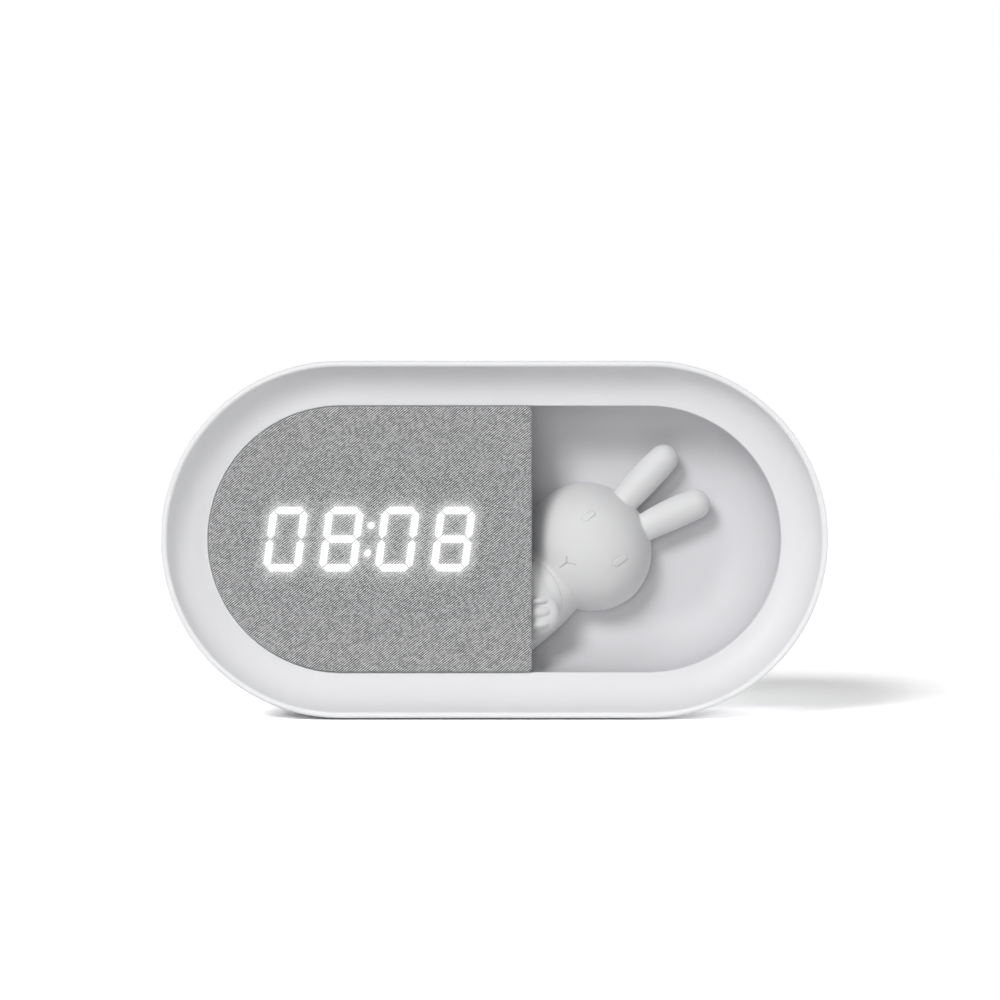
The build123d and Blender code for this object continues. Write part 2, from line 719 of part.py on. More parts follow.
with BuildPart() as rabbit_figure:
    spheroid((0, 0, 0), head_tilt - 90, head_half_width, head_half_height)
    spheroid(body_place, body_tilt, body_half_length, body_half_width)
    spheroid(upper_ear_place, upper_ear_tilt, ear_half_length, ear_half_width)
    spheroid(lower_ear_place, lower_ear_tilt, ear_half_length, ear_half_width)
    spheroid(arm_place, arm_tilt, arm_half_length, arm_half_width)
    spheroid(paw_place, paw_tilt, paw_half_length, paw_half_width)
    paw_right, paw_back, paw_up = paw_place
    for toe in (-1, 0, 1):
        toe_place = (paw_right + toe_right, paw_back - toe_out, paw_up + toe_up + toe * toe_rise)
        spheroid(toe_place, 0, toe_half_length, toe_half_width)
    # Low pads for the eyes, carried out of the head along the line of sight.
    for side in (-1, 1):
        eye_x, eye_z = face_point(eye_height, side * eye_spacing / 2)
        eye_reach = math.hypot(eye_height / head_half_height, eye_spacing / 2 / head_half_width)
        eye_y = head_y - head_half_height * math.sqrt(1 - eye_reach**2)
        with BuildSketch(facing(head_y)):
            with Locations(Location((eye_x, eye_z), head_tilt)):
                SlotOverall(eye_length, eye_width)
        block(head_y, eye_y - eye_relief)
    # The figure lies on the bowl's floor. Its plug and flange hold it there.
    add(figure_room, mode=Mode.INTERSECT)
    # Where the panel hides it, the figure stays behind the panel.
    with BuildSketch(facing(lip_y + figure_gap)):
        with Locations((panel_right_x + figure_gap, 0)):
            Rectangle(case_width, case_height, align=(Align.MAX, Align.CENTER))
    cut(lip_y + figure_gap, front_y)
    round_bars([head_center], plug_radius, flange_back_y, head_y)
    round_bars([head_center], flange_radius, flange_back_y, floor_y + tray_wall)
    # The head is hollow in front of a thick web, so that it can glow.
    web_y = floor_y - figure_web
    hollow_radius = head_half_height - figure_wall
    dome_sweep = math.degrees(math.acos((head_y - web_y) / hollow_radius))
    with BuildSketch(Plane(origin=(head_x, 0, axis_height + head_z), x_dir=(0, 1, 0), z_dir=(0, 0, 1))):
        with BuildLine():
            dome = CenterArc((head_y, 0), hollow_radius, 180, -dome_sweep)
            Polyline(dome @ 1, (web_y, 0), dome @ 0)
        make_face()
    revolve(axis=Axis((head_x, 0, axis_height + head_z), (0, 1, 0)), mode=Mode.SUBTRACT)
    round_bars([head_center], plug_bore_radius, flange_back_y, web_y, mode=Mode.SUBTRACT)
finish(rabbit_figure, "rabbit_figure")

# === Night light behind the bowl ====================================================================
diffuser_seat_y = clamp_back_y - diffuser_flange_thickness
with BuildPart() as figure_clamp_ring:
    round_bars([head_center], clamp_radius, clamp_back_y, flange_back_y)
    round_bars([head_center], clamp_bore_radius, clamp_back_y, flange_back_y, mode=Mode.SUBTRACT)
    seat_radius = diffuser_flange_radius + diffuser_seat_clearance
    round_bars([head_center], seat_radius, clamp_back_y, diffuser_seat_y, mode=Mode.SUBTRACT)
    round_bars(clamp_screw_points, pass_radius, clamp_back_y, flange_back_y, mode=Mode.SUBTRACT)
finish(figure_clamp_ring, "figure_clamp_ring")

with BuildPart() as night_light_diffuser:
    # A dome whose round front reaches into the hollow head.
    dome_center_y = clamp_back_y - diffuser_reach
    with BuildSketch(Plane(origin=(head_x, 0, axis_height + head_z), x_dir=(0, 1, 0), z_dir=(0, 0, 1))):
        with BuildLine():
            CenterArc((dome_center_y, 0), diffuser_radius, 90, 90)
            CenterArc((dome_center_y, 0), diffuser_radius - diffuser_wall, 90, 90)
            Line((dome_center_y - diffuser_radius, 0), (dome_center_y - diffuser_radius + diffuser_wall, 0))
            Polyline(
                (dome_center_y, diffuser_radius),
                (diffuser_seat_y, diffuser_radius),
                (diffuser_seat_y, diffuser_flange_radius),
                (clamp_back_y, diffuser_flange_radius),
                (clamp_back_y, diffuser_radius - diffuser_wall),
                (dome_center_y, diffuser_radius - diffuser_wall),
            )
        make_face()
    revolve(axis=Axis((head_x, 0, axis_height + head_z), (0, 1, 0)))
finish(night_light_diffuser, "night_light_diffuser")

with BuildPart() as night_light_board:
    round_bars([head_center], clamp_radius, light_board_back_y, clamp_back_y)
    round_bars(clamp_screw_points, pass_radius, light_board_back_y, clamp_back_y, mode=Mode.SUBTRACT)
finish(night_light_board, "night_light_board")

with BuildPart() as night_light_leds:
    with BuildSketch(facing(clamp_back_y)):
        with Locations(head_center):
            with PolarLocations(light_led_circle, light_led_count):
                Rectangle(light_led_size, light_led_size)
    block(clamp_back_y, clamp_back_y - led_height)
finish(night_light_leds, "night_light_leds")

with BuildPart() as clamp_screws:
    screws(clamp_screw_points, light_board_back_y, small_screw, clamp_screw_length, 1)
finish(clamp_screws, "clamp_screws")

# === Rear cover =====================================================================================
pocket_height = 2 * (key_radius + pocket_margin)
key_pocket_width = (key_count - 1) * key_pitch + pocket_height
switch_slot_width = knob_width + switch_travel + 2 * knob_clearance
switch_pocket_height = knob_height + 2 * pocket_margin
switch_pocket_width = switch_slot_width + 2 * pocket_margin
pockets = [
    (key_row_z, key_pocket_width, pocket_height),
    (switch_z, switch_pocket_width, switch_pocket_height),
]
rear_seat_y = back_y - rear_screw_recess

with BuildPart() as rear_cover:
    with BuildSketch(facing(back_y)):
        stadium(case_radius)
    block(back_y, split_y)
    fillet(rear_cover.faces().sort_by(Axis.Y)[-1].edges(), cover_round)
    chamfer(rear_cover.faces().sort_by(Axis.Y)[0].edges(), parting_chamfer)
    with BuildSketch(facing(cover_inner_y)):
        stadium(inner_radius)
    cut(cover_inner_y, split_y)
    fillet(rear_cover.faces().filter_by(Axis.Y).sort_by(Axis.Y)[-2].edges(), cover_inner_round)
    # Bosses that meet the shell's, with a deep recess for each screw head.
    round_bars(rear_boss_points, rear_boss_radius, cover_inner_y, split_y)
    recess_radius = large_screw * head_ratio + recess_clearance
    round_bars(rear_boss_points, recess_radius, back_y, rear_seat_y, mode=Mode.SUBTRACT)
    rear_pass_radius = large_screw / 2 + pass_clearance
    round_bars(rear_boss_points, rear_pass_radius, rear_seat_y, split_y, mode=Mode.SUBTRACT)
    # Posts of the main board and the speaker.
    round_bars(main_post_points, main_post_radius, cover_inner_y, main_board_y)
    main_hole_depth = main_screw_length - board_thickness + hole_spare
    screw_holes(main_post_points, main_board_y, small_screw, main_hole_depth, -1)
    round_bars(speaker_screw_points, speaker_post_radius, cover_inner_y, speaker_flange_y)
    speaker_hole_depth = speaker_screw_length - speaker_flange_thickness + hole_spare
    screw_holes(speaker_screw_points, speaker_flange_y, small_screw, speaker_hole_depth, -1)
    # Shallow pockets round the keys and the slide switch, thickened on the inside.
    for pocket_z, width, height in pockets:
        with BuildSketch(facing(cover_inner_y)):
            with Locations((control_x, pocket_z)):
                SlotOverall(width + 2 * case_wall, height + 2 * case_wall)
        block(cover_inner_y, pad_inner_y)
        with BuildSketch(facing(back_y)):
            with Locations((control_x, pocket_z)):
                SlotOverall(width, height)
        cut(back_y, pocket_y)
    round_bars(key_points, key_radius + key_clearance, pocket_y, pad_inner_y, mode=Mode.SUBTRACT)
    knob_slot = [(control_x, switch_z)]
    knob_slot_height = knob_height + 2 * knob_clearance
    boxes(knob_slot, switch_slot_width, knob_slot_height, pocket_y, pad_inner_y, Mode.SUBTRACT)
    # Charging opening.
    with BuildSketch(facing(back_y)):
        with Locations((control_x, usb_z)):
            SlotOverall(usb_width + 2 * usb_clearance, usb_height + 2 * usb_clearance)
    cut(back_y, cover_inner_y)
    # Speaker grille: a centre hole and rings of holes round it.
    round_bars([(speaker_x, 0)], grille_hole_radius, back_y, cover_inner_y, mode=Mode.SUBTRACT)
    for ring in range(1, grille_rings + 1):
        with BuildSketch(facing(back_y)):
            with Locations((speaker_x, 0)):
                with PolarLocations(ring * grille_pitch, 6 * ring):
                    Circle(grille_hole_radius)
        cut(back_y, cover_inner_y)
finish(rear_cover, "rear_cover")

with BuildPart() as rear_screws:
    screws(rear_boss_points, rear_seat_y, large_screw, rear_screw_length, 1)
finish(rear_screws, "rear_screws")

# === Main board and what it carries =================================================================
with BuildPart() as main_board:
    boxes([(control_x, 0)], main_board_width, main_board_height, main_board_y, main_board_front_y)
    round_bars(main_post_points, pass_radius, main_board_y, main_board_front_y, mode=Mode.SUBTRACT)
finish(main_board, "main_board")

with BuildPart() as board_screws:
    screws(main_post_points, main_board_front_y, small_screw, main_screw_length, -1)
finish(board_screws, "board_screws")

tact_top_y = main_board_y + tact_height
with BuildPart() as tact_switches:
    boxes(key_points, tact_size, tact_size, tact_top_y, main_board_y)
    well_floor_y = plunger_base_y - key_travel - plunger_space
    round_bars(key_points, plunger_radius + plunger_clearance, tact_top_y, well_floor_y, mode=Mode.SUBTRACT)
finish(tact_switches, "tact_switches")

for key_name, key_point in zip(("time", "alarm", "up", "down"), key_points):
    with BuildPart() as key_cap:
        round_bars([key_point], key_radius, back_y - cap_recess, key_base_y)
        fillet(key_cap.faces().sort_by(Axis.Y)[-1].edges(), key_edge_round)
        round_bars([key_point], key_radius + key_lip, key_flange_y, key_base_y)
    finish(key_cap, f"{key_name}_key")
    with BuildPart() as plunger:
        round_bars([key_point], plunger_radius, key_base_y, plunger_base_y)
    finish(plunger, f"{key_name}_plunger")

housing_y = main_board_y + switch_housing_depth
stem_base_y = housing_y - switch_housing_depth / 2
with BuildPart() as switch_housing:
    boxes([(control_x, switch_z)], switch_housing_width, switch_housing_height, housing_y, main_board_y)
    stem_slot_width = stem_width + switch_travel + 2 * stem_clearance
    stem_slot_height = stem_height + 2 * stem_clearance
    stem_slot = [(control_x, switch_z)]
    slot_floor_y = stem_base_y - stem_clearance
    boxes(stem_slot, stem_slot_width, stem_slot_height, housing_y, slot_floor_y, Mode.SUBTRACT)
finish(switch_housing, "switch_housing")

knob_base_y = housing_y + stem_clearance
with BuildPart() as switch_knob:
    # The knob stands at the left end of its slot and slides right.
    knob_point = [(control_x - switch_travel / 2, switch_z)]
    boxes(knob_point, stem_width, stem_height, knob_base_y, stem_base_y)
    boxes(knob_point, knob_width, knob_height, back_y - cap_recess, knob_base_y)
    fillet(switch_knob.faces().sort_by(Axis.Y)[-1].edges(), key_edge_round / 2)
finish(switch_knob, "switch_knob")

usb_mouth_y = back_y - usb_recess
with BuildPart() as usb_socket:
    with BuildSketch(facing(usb_mouth_y)):
        with Locations((control_x, usb_z)):
            SlotOverall(usb_width, usb_height)
    block(usb_mouth_y, main_board_y)
    with BuildSketch(facing(usb_mouth_y)):
        with Locations((control_x, usb_z)):
            SlotOverall(usb_width - 2 * usb_wall, usb_height - 2 * usb_wall)
    cut(usb_mouth_y, main_board_y + usb_pin_length)
finish(usb_socket, "usb_socket")

with BuildPart() as usb_tongue:
    tongue_y = usb_mouth_y - usb_tongue_recess
    tongue_base_y = main_board_y + usb_pin_length
    boxes([(control_x, usb_z)], usb_tongue_width, usb_tongue_thickness, tongue_y, tongue_base_y)
finish(usb_tongue, "usb_tongue")

with BuildPart() as board_chips:
    # Processor, clock chip and charger on the front face of the main board.
    chip_front_y = main_board_front_y - chip_thickness
    for chip_x, chip_z, chip_size in chips:
        boxes([(control_x + chip_x, chip_z)], chip_size, chip_size, main_board_front_y, chip_front_y)
finish(board_chips, "board_chips")

plug_edge_x = control_x + main_board_width / 2 - main_post_inset
light_plug_x = head_x - clamp_radius + 2 * lead_plug
with BuildPart() as lead_plugs:
    # The battery's and the light's plugs are on the board's front face, the speaker's is on its rear face.
    for plug_z in (battery_lead_z, light_lead_z):
        plug_point = [(plug_edge_x - lead_plug / 2, plug_z)]
        boxes(plug_point, lead_plug, lead_plug, main_board_front_y, main_board_front_y - lead_plug)
    speaker_plug_point = [(plug_edge_x - lead_plug / 2, speaker_lead_z)]
    boxes(speaker_plug_point, lead_plug, lead_plug, main_board_y + lead_plug, main_board_y)
    light_plug_point = [(light_plug_x - lead_plug / 2, light_lead_z)]
    boxes(light_plug_point, lead_plug, lead_plug, light_board_back_y + lead_plug, light_board_back_y)
finish(lead_plugs, "lead_plugs")

display_socket_z = (ribbon_socket_height - display_board_height) / 2
main_socket_z = ribbon_bend + ribbon_socket_height - ribbon_drop
with BuildPart() as ribbon_sockets:
    display_socket_back_y = display_back_y + ribbon_socket_depth
    display_socket = [(ribbon_x, display_socket_z)]
    boxes(display_socket, ribbon_width, ribbon_socket_height, display_socket_back_y, display_back_y)
    main_socket_front_y = main_board_front_y - ribbon_socket_depth
    main_socket = [(ribbon_x, main_socket_z)]
    boxes(main_socket, ribbon_width, ribbon_socket_height, main_board_front_y, main_socket_front_y)
finish(ribbon_sockets, "ribbon_sockets")

# === Battery and its bracket ========================================================================
with BuildPart() as battery_bracket:
    plate_height = battery_height + 2 * (battery_clearance + bracket_thickness + bracket_ear)
    frame_width = battery_width + 2 * (battery_clearance + bracket_thickness)
    frame_height = battery_height + 2 * (battery_clearance + bracket_thickness)
    battery_place = [(battery_x, 0)]
    wall_back_y = battery_y + bracket_wall_height
    boxes(battery_place, frame_width, plate_height, battery_y, bracket_y)
    boxes(battery_place, frame_width, frame_height, wall_back_y, battery_y)
    room_width = battery_width + 2 * battery_clearance
    room_height = battery_height + 2 * battery_clearance
    boxes(battery_place, room_width, room_height, wall_back_y, battery_y, Mode.SUBTRACT)
    round_bars(bracket_post_points, pass_radius, battery_y, bracket_y, mode=Mode.SUBTRACT)
finish(battery_bracket, "battery_bracket")

with BuildPart() as battery_cell:
    boxes([(battery_x, 0)], battery_width, battery_height, battery_y + battery_thickness, battery_y)
    fillet(battery_cell.edges().filter_by(Axis.X), battery_round)
finish(battery_cell, "battery_cell")

with BuildPart() as bracket_screws:
    screws(bracket_post_points, battery_y, small_screw, bracket_screw_length, 1)
finish(bracket_screws, "bracket_screws")

# === Speaker ========================================================================================
speaker_center = [(speaker_x, 0)]
with BuildPart() as speaker_frame:
    with BuildSketch(facing(speaker_flange_y)):
        with Locations(*speaker_center):
            RectangleRounded(speaker_flange, speaker_flange, speaker_corner)
        with Locations(*speaker_screw_points):
            Circle(pass_radius, mode=Mode.SUBTRACT)
    block(speaker_flange_y, speaker_front_y)
    # The basket narrows from the flange to the magnet.
    with BuildSketch(Plane(origin=(speaker_x, 0, axis_height), x_dir=(0, 1, 0), z_dir=(0, 0, 1))):
        with BuildLine():
            Polyline(
                (speaker_front_y, 0),
                (speaker_front_y, speaker_mouth_radius + speaker_basket_wall),
                (magnet_y, magnet_radius),
                (magnet_y, 0),
                close=True,
            )
        make_face()
    revolve(axis=Axis((speaker_x, 0, axis_height), (0, 1, 0)))
    with BuildSketch(Plane(origin=(speaker_x, 0, axis_height), x_dir=(0, 1, 0), z_dir=(0, 0, 1))):
        with BuildLine():
            Polyline(
                (speaker_flange_y, 0),
                (speaker_flange_y, speaker_mouth_radius),
                (speaker_front_y, speaker_mouth_radius),
                (magnet_y + speaker_basket_wall, speaker_throat_radius),
                (magnet_y + speaker_basket_wall, 0),
                close=True,
            )
        make_face()
    revolve(axis=Axis((speaker_x, 0, axis_height), (0, 1, 0)), mode=Mode.SUBTRACT)
finish(speaker_frame, "speaker_frame")

with BuildPart() as speaker_magnet:
    round_bars(speaker_center, magnet_radius, magnet_y, magnet_y - magnet_thickness)
finish(speaker_magnet, "speaker_magnet")

with BuildPart() as speaker_cone:
    # A shallow paper cone hung in the mouth of the basket.
    cone_inner = speaker_throat_radius - speaker_basket_wall
    with BuildSketch(Plane(origin=(speaker_x, 0, axis_height), x_dir=(0, 1, 0), z_dir=(0, 0, 1))):
        with BuildLine():
            Polyline(
                (speaker_flange_y, speaker_mouth_radius),
                (speaker_flange_y - cone_depth, cone_inner),
                (speaker_flange_y - cone_depth, 0),
                (speaker_flange_y - cone_depth - cone_thickness, 0),
                (speaker_flange_y - cone_depth - cone_thickness, cone_inner),
                (speaker_flange_y - cone_thickness, speaker_mouth_radius),
                close=True,
            )
        make_face()
    revolve(axis=Axis((speaker_x, 0, axis_height), (0, 1, 0)))
finish(speaker_cone, "speaker_cone")

with BuildPart() as speaker_gasket:
    round_bars(speaker_center, gasket_radius, cover_inner_y, speaker_flange_y)
    round_bars(speaker_center, speaker_mouth_radius, cover_inner_y, speaker_flange_y, mode=Mode.SUBTRACT)
finish(speaker_gasket, "speaker_gasket")

with BuildPart() as speaker_screws:
    screws(speaker_screw_points, speaker_front_y, small_screw, speaker_screw_length, -1)
finish(speaker_screws, "speaker_screws")

# === Leads ==========================================================================================
def lead(points):
    """A thin cable through the points, with arcs as wide as its runs allow."""
    route = [Vector(x, y, axis_height + z) for x, y, z in points]
    runs = [end - start for start, end in zip(route, route[1:])]
    radii = []
    for before, after in zip(runs, runs[1:]):
        turn = math.radians(before.get_angle(after))
        radii.append(arc_share * min(before.length, after.length) / math.tan(turn / 2))
    with BuildLine() as path:
        FilletPolyline(*route, radius=radii)
    with BuildSketch(Plane(origin=route[0], z_dir=runs[0])) as section:
        Circle(lead_radius)
    sweep(section.sketch, path=path.line)


front_plug_y = main_board_front_y - lead_plug / 2
rear_plug_y = main_board_y + lead_plug / 2
with BuildPart() as battery_lead:
    # Out of the cell's end over the bracket's wall, then back beside the bowl.
    battery_end_x = battery_x + battery_width / 2
    battery_lead_y = battery_y + battery_thickness - lead_radius - battery_clearance
    lead(
        [
            (battery_end_x, battery_lead_y, battery_lead_z),
            (lead_aisle_x, battery_lead_y, battery_lead_z),
            (lead_aisle_x, front_plug_y, battery_lead_z),
            (plug_edge_x, front_plug_y, battery_lead_z),
        ]
    )
finish(battery_lead, "battery_lead")

with BuildPart() as light_lead:
    light_plug_y = light_board_back_y + lead_plug / 2
    light_start_x = light_plug_x - lead_plug
    light_run = (light_start_x - plug_edge_x) / 3
    lead(
        [
            (light_start_x, light_plug_y, light_lead_z),
            (light_start_x - light_run, light_plug_y, light_lead_z),
            (plug_edge_x + light_run, front_plug_y, light_lead_z),
            (plug_edge_x, front_plug_y, light_lead_z),
        ]
    )
finish(light_lead, "light_lead")

with BuildPart() as speaker_lead:
    speaker_edge_x = speaker_x - speaker_flange / 2
    speaker_run = (speaker_edge_x - plug_edge_x) / 3
    speaker_lead_y = speaker_flange_y - speaker_flange_thickness / 2
    lead(
        [
            (speaker_edge_x, speaker_lead_y, speaker_lead_z),
            (speaker_edge_x - speaker_run, speaker_lead_y, speaker_lead_z),
            (plug_edge_x + speaker_run, rear_plug_y, speaker_lead_z),
            (plug_edge_x, rear_plug_y, speaker_lead_z),
        ]
    )
finish(speaker_lead, "speaker_lead")

with BuildPart() as display_ribbon:
    # Flat cable: down behind the display board, under the battery and up the main board.
    start_y = display_back_y + ribbon_socket_depth / 2
    end_y = main_board_front_y - ribbon_socket_depth / 2
    low_z = axis_height - ribbon_drop
    start_z = axis_height + display_socket_z - ribbon_socket_height / 2
    end_z = axis_height + main_socket_z - ribbon_socket_height / 2
    with BuildLine() as ribbon_path:
        FilletPolyline(
            (ribbon_x, start_y, start_z),
            (ribbon_x, start_y, low_z),
            (ribbon_x, end_y, low_z),
            (ribbon_x, end_y, end_z),
            radius=(ribbon_bend, ribbon_bend),
        )
    with BuildSketch(Plane(origin=(ribbon_x, start_y, start_z), x_dir=(1, 0, 0), z_dir=(0, 0, -1))):
        Rectangle(ribbon_width, ribbon_thickness)
    sweep(path=ribbon_path.line)
finish(display_ribbon, "display_ribbon")
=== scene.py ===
"""Looks of a kids alarm clock with a night light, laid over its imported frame.

Lengths are metres in Blender. The rabbit's shape is worked out in millimetres, from the case's axis.
"""

import json
import math
from functools import partialmethod

import bmesh
import bpy
import numpy as np
from mathutils import Matrix, Vector


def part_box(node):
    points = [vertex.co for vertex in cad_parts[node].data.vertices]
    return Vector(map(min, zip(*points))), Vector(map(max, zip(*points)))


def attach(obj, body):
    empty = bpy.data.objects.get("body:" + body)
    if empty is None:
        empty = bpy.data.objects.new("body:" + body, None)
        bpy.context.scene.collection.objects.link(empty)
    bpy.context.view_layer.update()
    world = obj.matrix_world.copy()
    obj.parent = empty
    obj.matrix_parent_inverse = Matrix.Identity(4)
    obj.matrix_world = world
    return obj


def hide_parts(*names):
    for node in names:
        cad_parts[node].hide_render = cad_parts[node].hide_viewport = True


bl_info = {
    "name": "Kids Alarm Clock",
    "version": (1, 0, 0),
    "blender": (4, 5, 0),
    "location": "View3D > Sidebar > Alarm Clock",
    "description": "Cloth display, rabbit night light and moulded finishes of a kids alarm clock",
    "category": "Object",
}

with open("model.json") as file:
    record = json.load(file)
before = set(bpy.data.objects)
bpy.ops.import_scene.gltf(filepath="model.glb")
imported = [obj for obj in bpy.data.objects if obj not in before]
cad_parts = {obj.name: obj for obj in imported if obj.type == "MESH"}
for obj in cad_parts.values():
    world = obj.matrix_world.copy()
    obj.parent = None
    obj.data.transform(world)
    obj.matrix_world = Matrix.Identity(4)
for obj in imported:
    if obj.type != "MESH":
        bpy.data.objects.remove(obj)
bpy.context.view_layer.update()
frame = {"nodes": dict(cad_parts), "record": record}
NODES = frame["nodes"]
SLOT_COLOURS = {entry["slot"]: entry["base_color"] for entry in frame["record"]["materials"]}
SLOT_NODES = {}
for subpart in frame["record"]["subparts"]:
    SLOT_NODES.setdefault(subpart["material_slot"], []).append(subpart["node"])

MM = 0.001
SHELL_LOW, SHELL_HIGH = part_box("front_shell")
GUIDE_LOW, GUIDE_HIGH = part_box("digit_light_guide")
AXIS_HEIGHT = (SHELL_LOW.z + SHELL_HIGH.z) / 2


# --- Sizes and colours that a user would change ---
def length(name, description, default):
    """A length in metres that the sidebar shows."""
    return bpy.props.FloatProperty(
        name=name, description=description, default=default, min=0, precision=5, unit="LENGTH"
    )


def colour(name, description, default):
    """A linear colour."""
    return bpy.props.FloatVectorProperty(
        name=name, description=description, default=default, min=0, max=1, size=3, subtype="COLOR"
    )


class ClockDisplaySizes(bpy.types.PropertyGroup):
    """Sizes of the cloth display and its figures."""

    digit_height: length("Digit height", "Height of a figure", 0.0167)
    digit_width: length("Digit width", "Width of a figure before it slants", 0.0098)
    digit_pitch: length("Digit pitch", "From one figure to the next", 0.01435)
    segment_width: length("Segment width", "Thickness of a lit bar", 0.00195)
    segment_gap: length("Segment gap", "Dark hairline between two bars", 0.00018)
    dot_radius: length("Dot radius", "Radius of the colon's dots", 0.0009)
    dot_spacing: length("Dot spacing", "Between the colon's dots", 0.0071)
    halo: length("Halo", "How far the light spreads in the cloth", 0.00115)
    cloth_edge: length("Cloth edge", "Radius where the cloth turns round the plate", 0.0005)
    cloth_corner: length("Cloth corner", "Radius of the straight edge's two corners", 0.0012)
    rib_across: length("Rib pitch across", "Width of one twill step", 0.000784)
    rib_up: length("Rib pitch up", "Height of one twill step", 0.000636)


class ClockFigureSizes(bpy.types.PropertyGroup):
    """Sizes of the rabbit's face."""

    mesh_step: length("Mesh step", "Edge of the figure's mesh", 0.00045)
    eye_length: length("Eye length", "Length of an eye", 0.0043)
    eye_width: length("Eye width", "Width of an eye", 0.0018)
    eye_relief: length("Eye relief", "How far an eye stands out", 0.00018)
    eye_groove: length("Eye groove", "Depth of the groove round an eye", 0.00016)
    nose_width: length("Nose line", "Width of the nose's groove", 0.00032)
    nose_depth: length("Nose depth", "Depth of the nose's groove", 0.00045)


class ClockBackSizes(bpy.types.PropertyGroup):
    """Sizes of the screws and the dust screen at the back."""

    screw_head_radius: length("Head radius", "Radius of a screw's head", 0.00247)
    screw_head_height: length("Head height", "Height of a screw's head", 0.00156)
    screw_shank_radius: length("Shank radius", "Radius of a screw's shank", 0.0013)
    screw_slot_width: length("Slot width", "Width of the cross recess", 0.0006)
    gasket_width: length("Gasket width", "Width of the speaker's gasket ring", 0.0025)
    screen_pitch: length("Screen pitch", "From one wire of the dust screen to the next", 0.0006)
    screen_wire_radius: length("Screen wire", "Radius of a wire of the dust screen", 0.00011)


class ClockColours(bpy.types.PropertyGroup):
    """Colours of the pieces that show."""

    case: colour("Case", "White of the moulded case", (0.84, 0.84, 0.86))
    # Painted highlight: a whiter colour along the front shell's foremost edge, for the light that edge
    # catches.
    rim_highlight: colour("Rim", "White of the case's rubbed rim", (0.95, 0.95, 0.965))
    # Painted shade: the bowl is the case's white made darker, for the shade inside the recess.
    bowl: colour("Alcove", "White of the alcove's bowl", (0.69, 0.69, 0.71))
    figure: colour("Figure", "Silicone of the rabbit", (0.79, 0.79, 0.795))
    yarn_light: colour("Light yarn", "Light yarn of the cloth", (0.705, 0.72, 0.722))
    yarn_dark: colour("Dark yarn", "Dark yarn of the cloth", (0.03, 0.03, 0.031))
    light: colour("Light", "Light of the figures", (1.0, 1.0, 1.0))
    light_strength: bpy.props.FloatProperty(
        name="Light strength", description="Strength of the figures' light", default=1, min=0, max=1,
        subtype="FACTOR",
    )
    floor: colour("Floor", "What the floor throws back on the clock", (0.85, 0.85, 0.85))


# --- Shader helpers ---
class Field:
    """A number that varies over a surface, worked out with Math nodes."""

    def __init__(self, tree, source):
        self.tree, self.source = tree, source

    def math(self, operation, *others):
        node = self.tree.nodes.new("ShaderNodeMath")
        node.operation = operation
        for socket, value in zip(node.inputs, (self, *others)):
            value = getattr(value, "source", value)
            if isinstance(value, bpy.types.NodeSocket):
                self.tree.links.new(value, socket)
            else:
                socket.default_value = value
        return Field(self.tree, node.outputs[0])

    __add__ = partialmethod(math, "ADD")
    __sub__ = partialmethod(math, "SUBTRACT")
    __mul__ = partialmethod(math, "MULTIPLY")
    __truediv__ = partialmethod(math, "DIVIDE")
    __abs__ = partialmethod(math, "ABSOLUTE")
    lower = partialmethod(math, "MINIMUM")
    higher = partialmethod(math, "MAXIMUM")

    def between(self, start, end, low=0.0, high=1.0, smooth=False):
        """Map the range start..end to low..high, held at both ends."""
        node = self.tree.nodes.new("ShaderNodeMapRange")
        node.interpolation_type = "SMOOTHSTEP" if smooth else "LINEAR"
        self.tree.links.new(self.source, node.inputs["Value"])
        for name, value in (("From Min", start), ("From Max", end), ("To Min", low), ("To Max", high)):
            node.inputs[name].default_value = value
        return Field(self.tree, node.outputs["Result"])

    def spread(self, low=0.0, high=1.0):
        """Map the range that most of a noise lies in to low..high."""
        return self.between(0.3, 0.7, low, high)


def first(tree, kind):
    """The first node of a type in a tree."""
    return next(node for node in tree.nodes if node.type == kind)


def add_node(tree, kind, inputs=(), **settings):
    """A node with its settings, whose inputs are linked or given a value."""
    node = tree.nodes.new(kind)
    for name, value in settings.items():
        setattr(node, name, value)
    for name, value in dict(inputs).items():
        for one in value if isinstance(value, list) else [value]:
            one = getattr(one, "source", one)
            if isinstance(one, bpy.types.NodeSocket):
                tree.links.new(one, node.inputs[name])
            else:
                node.inputs[name].default_value = one
    return node


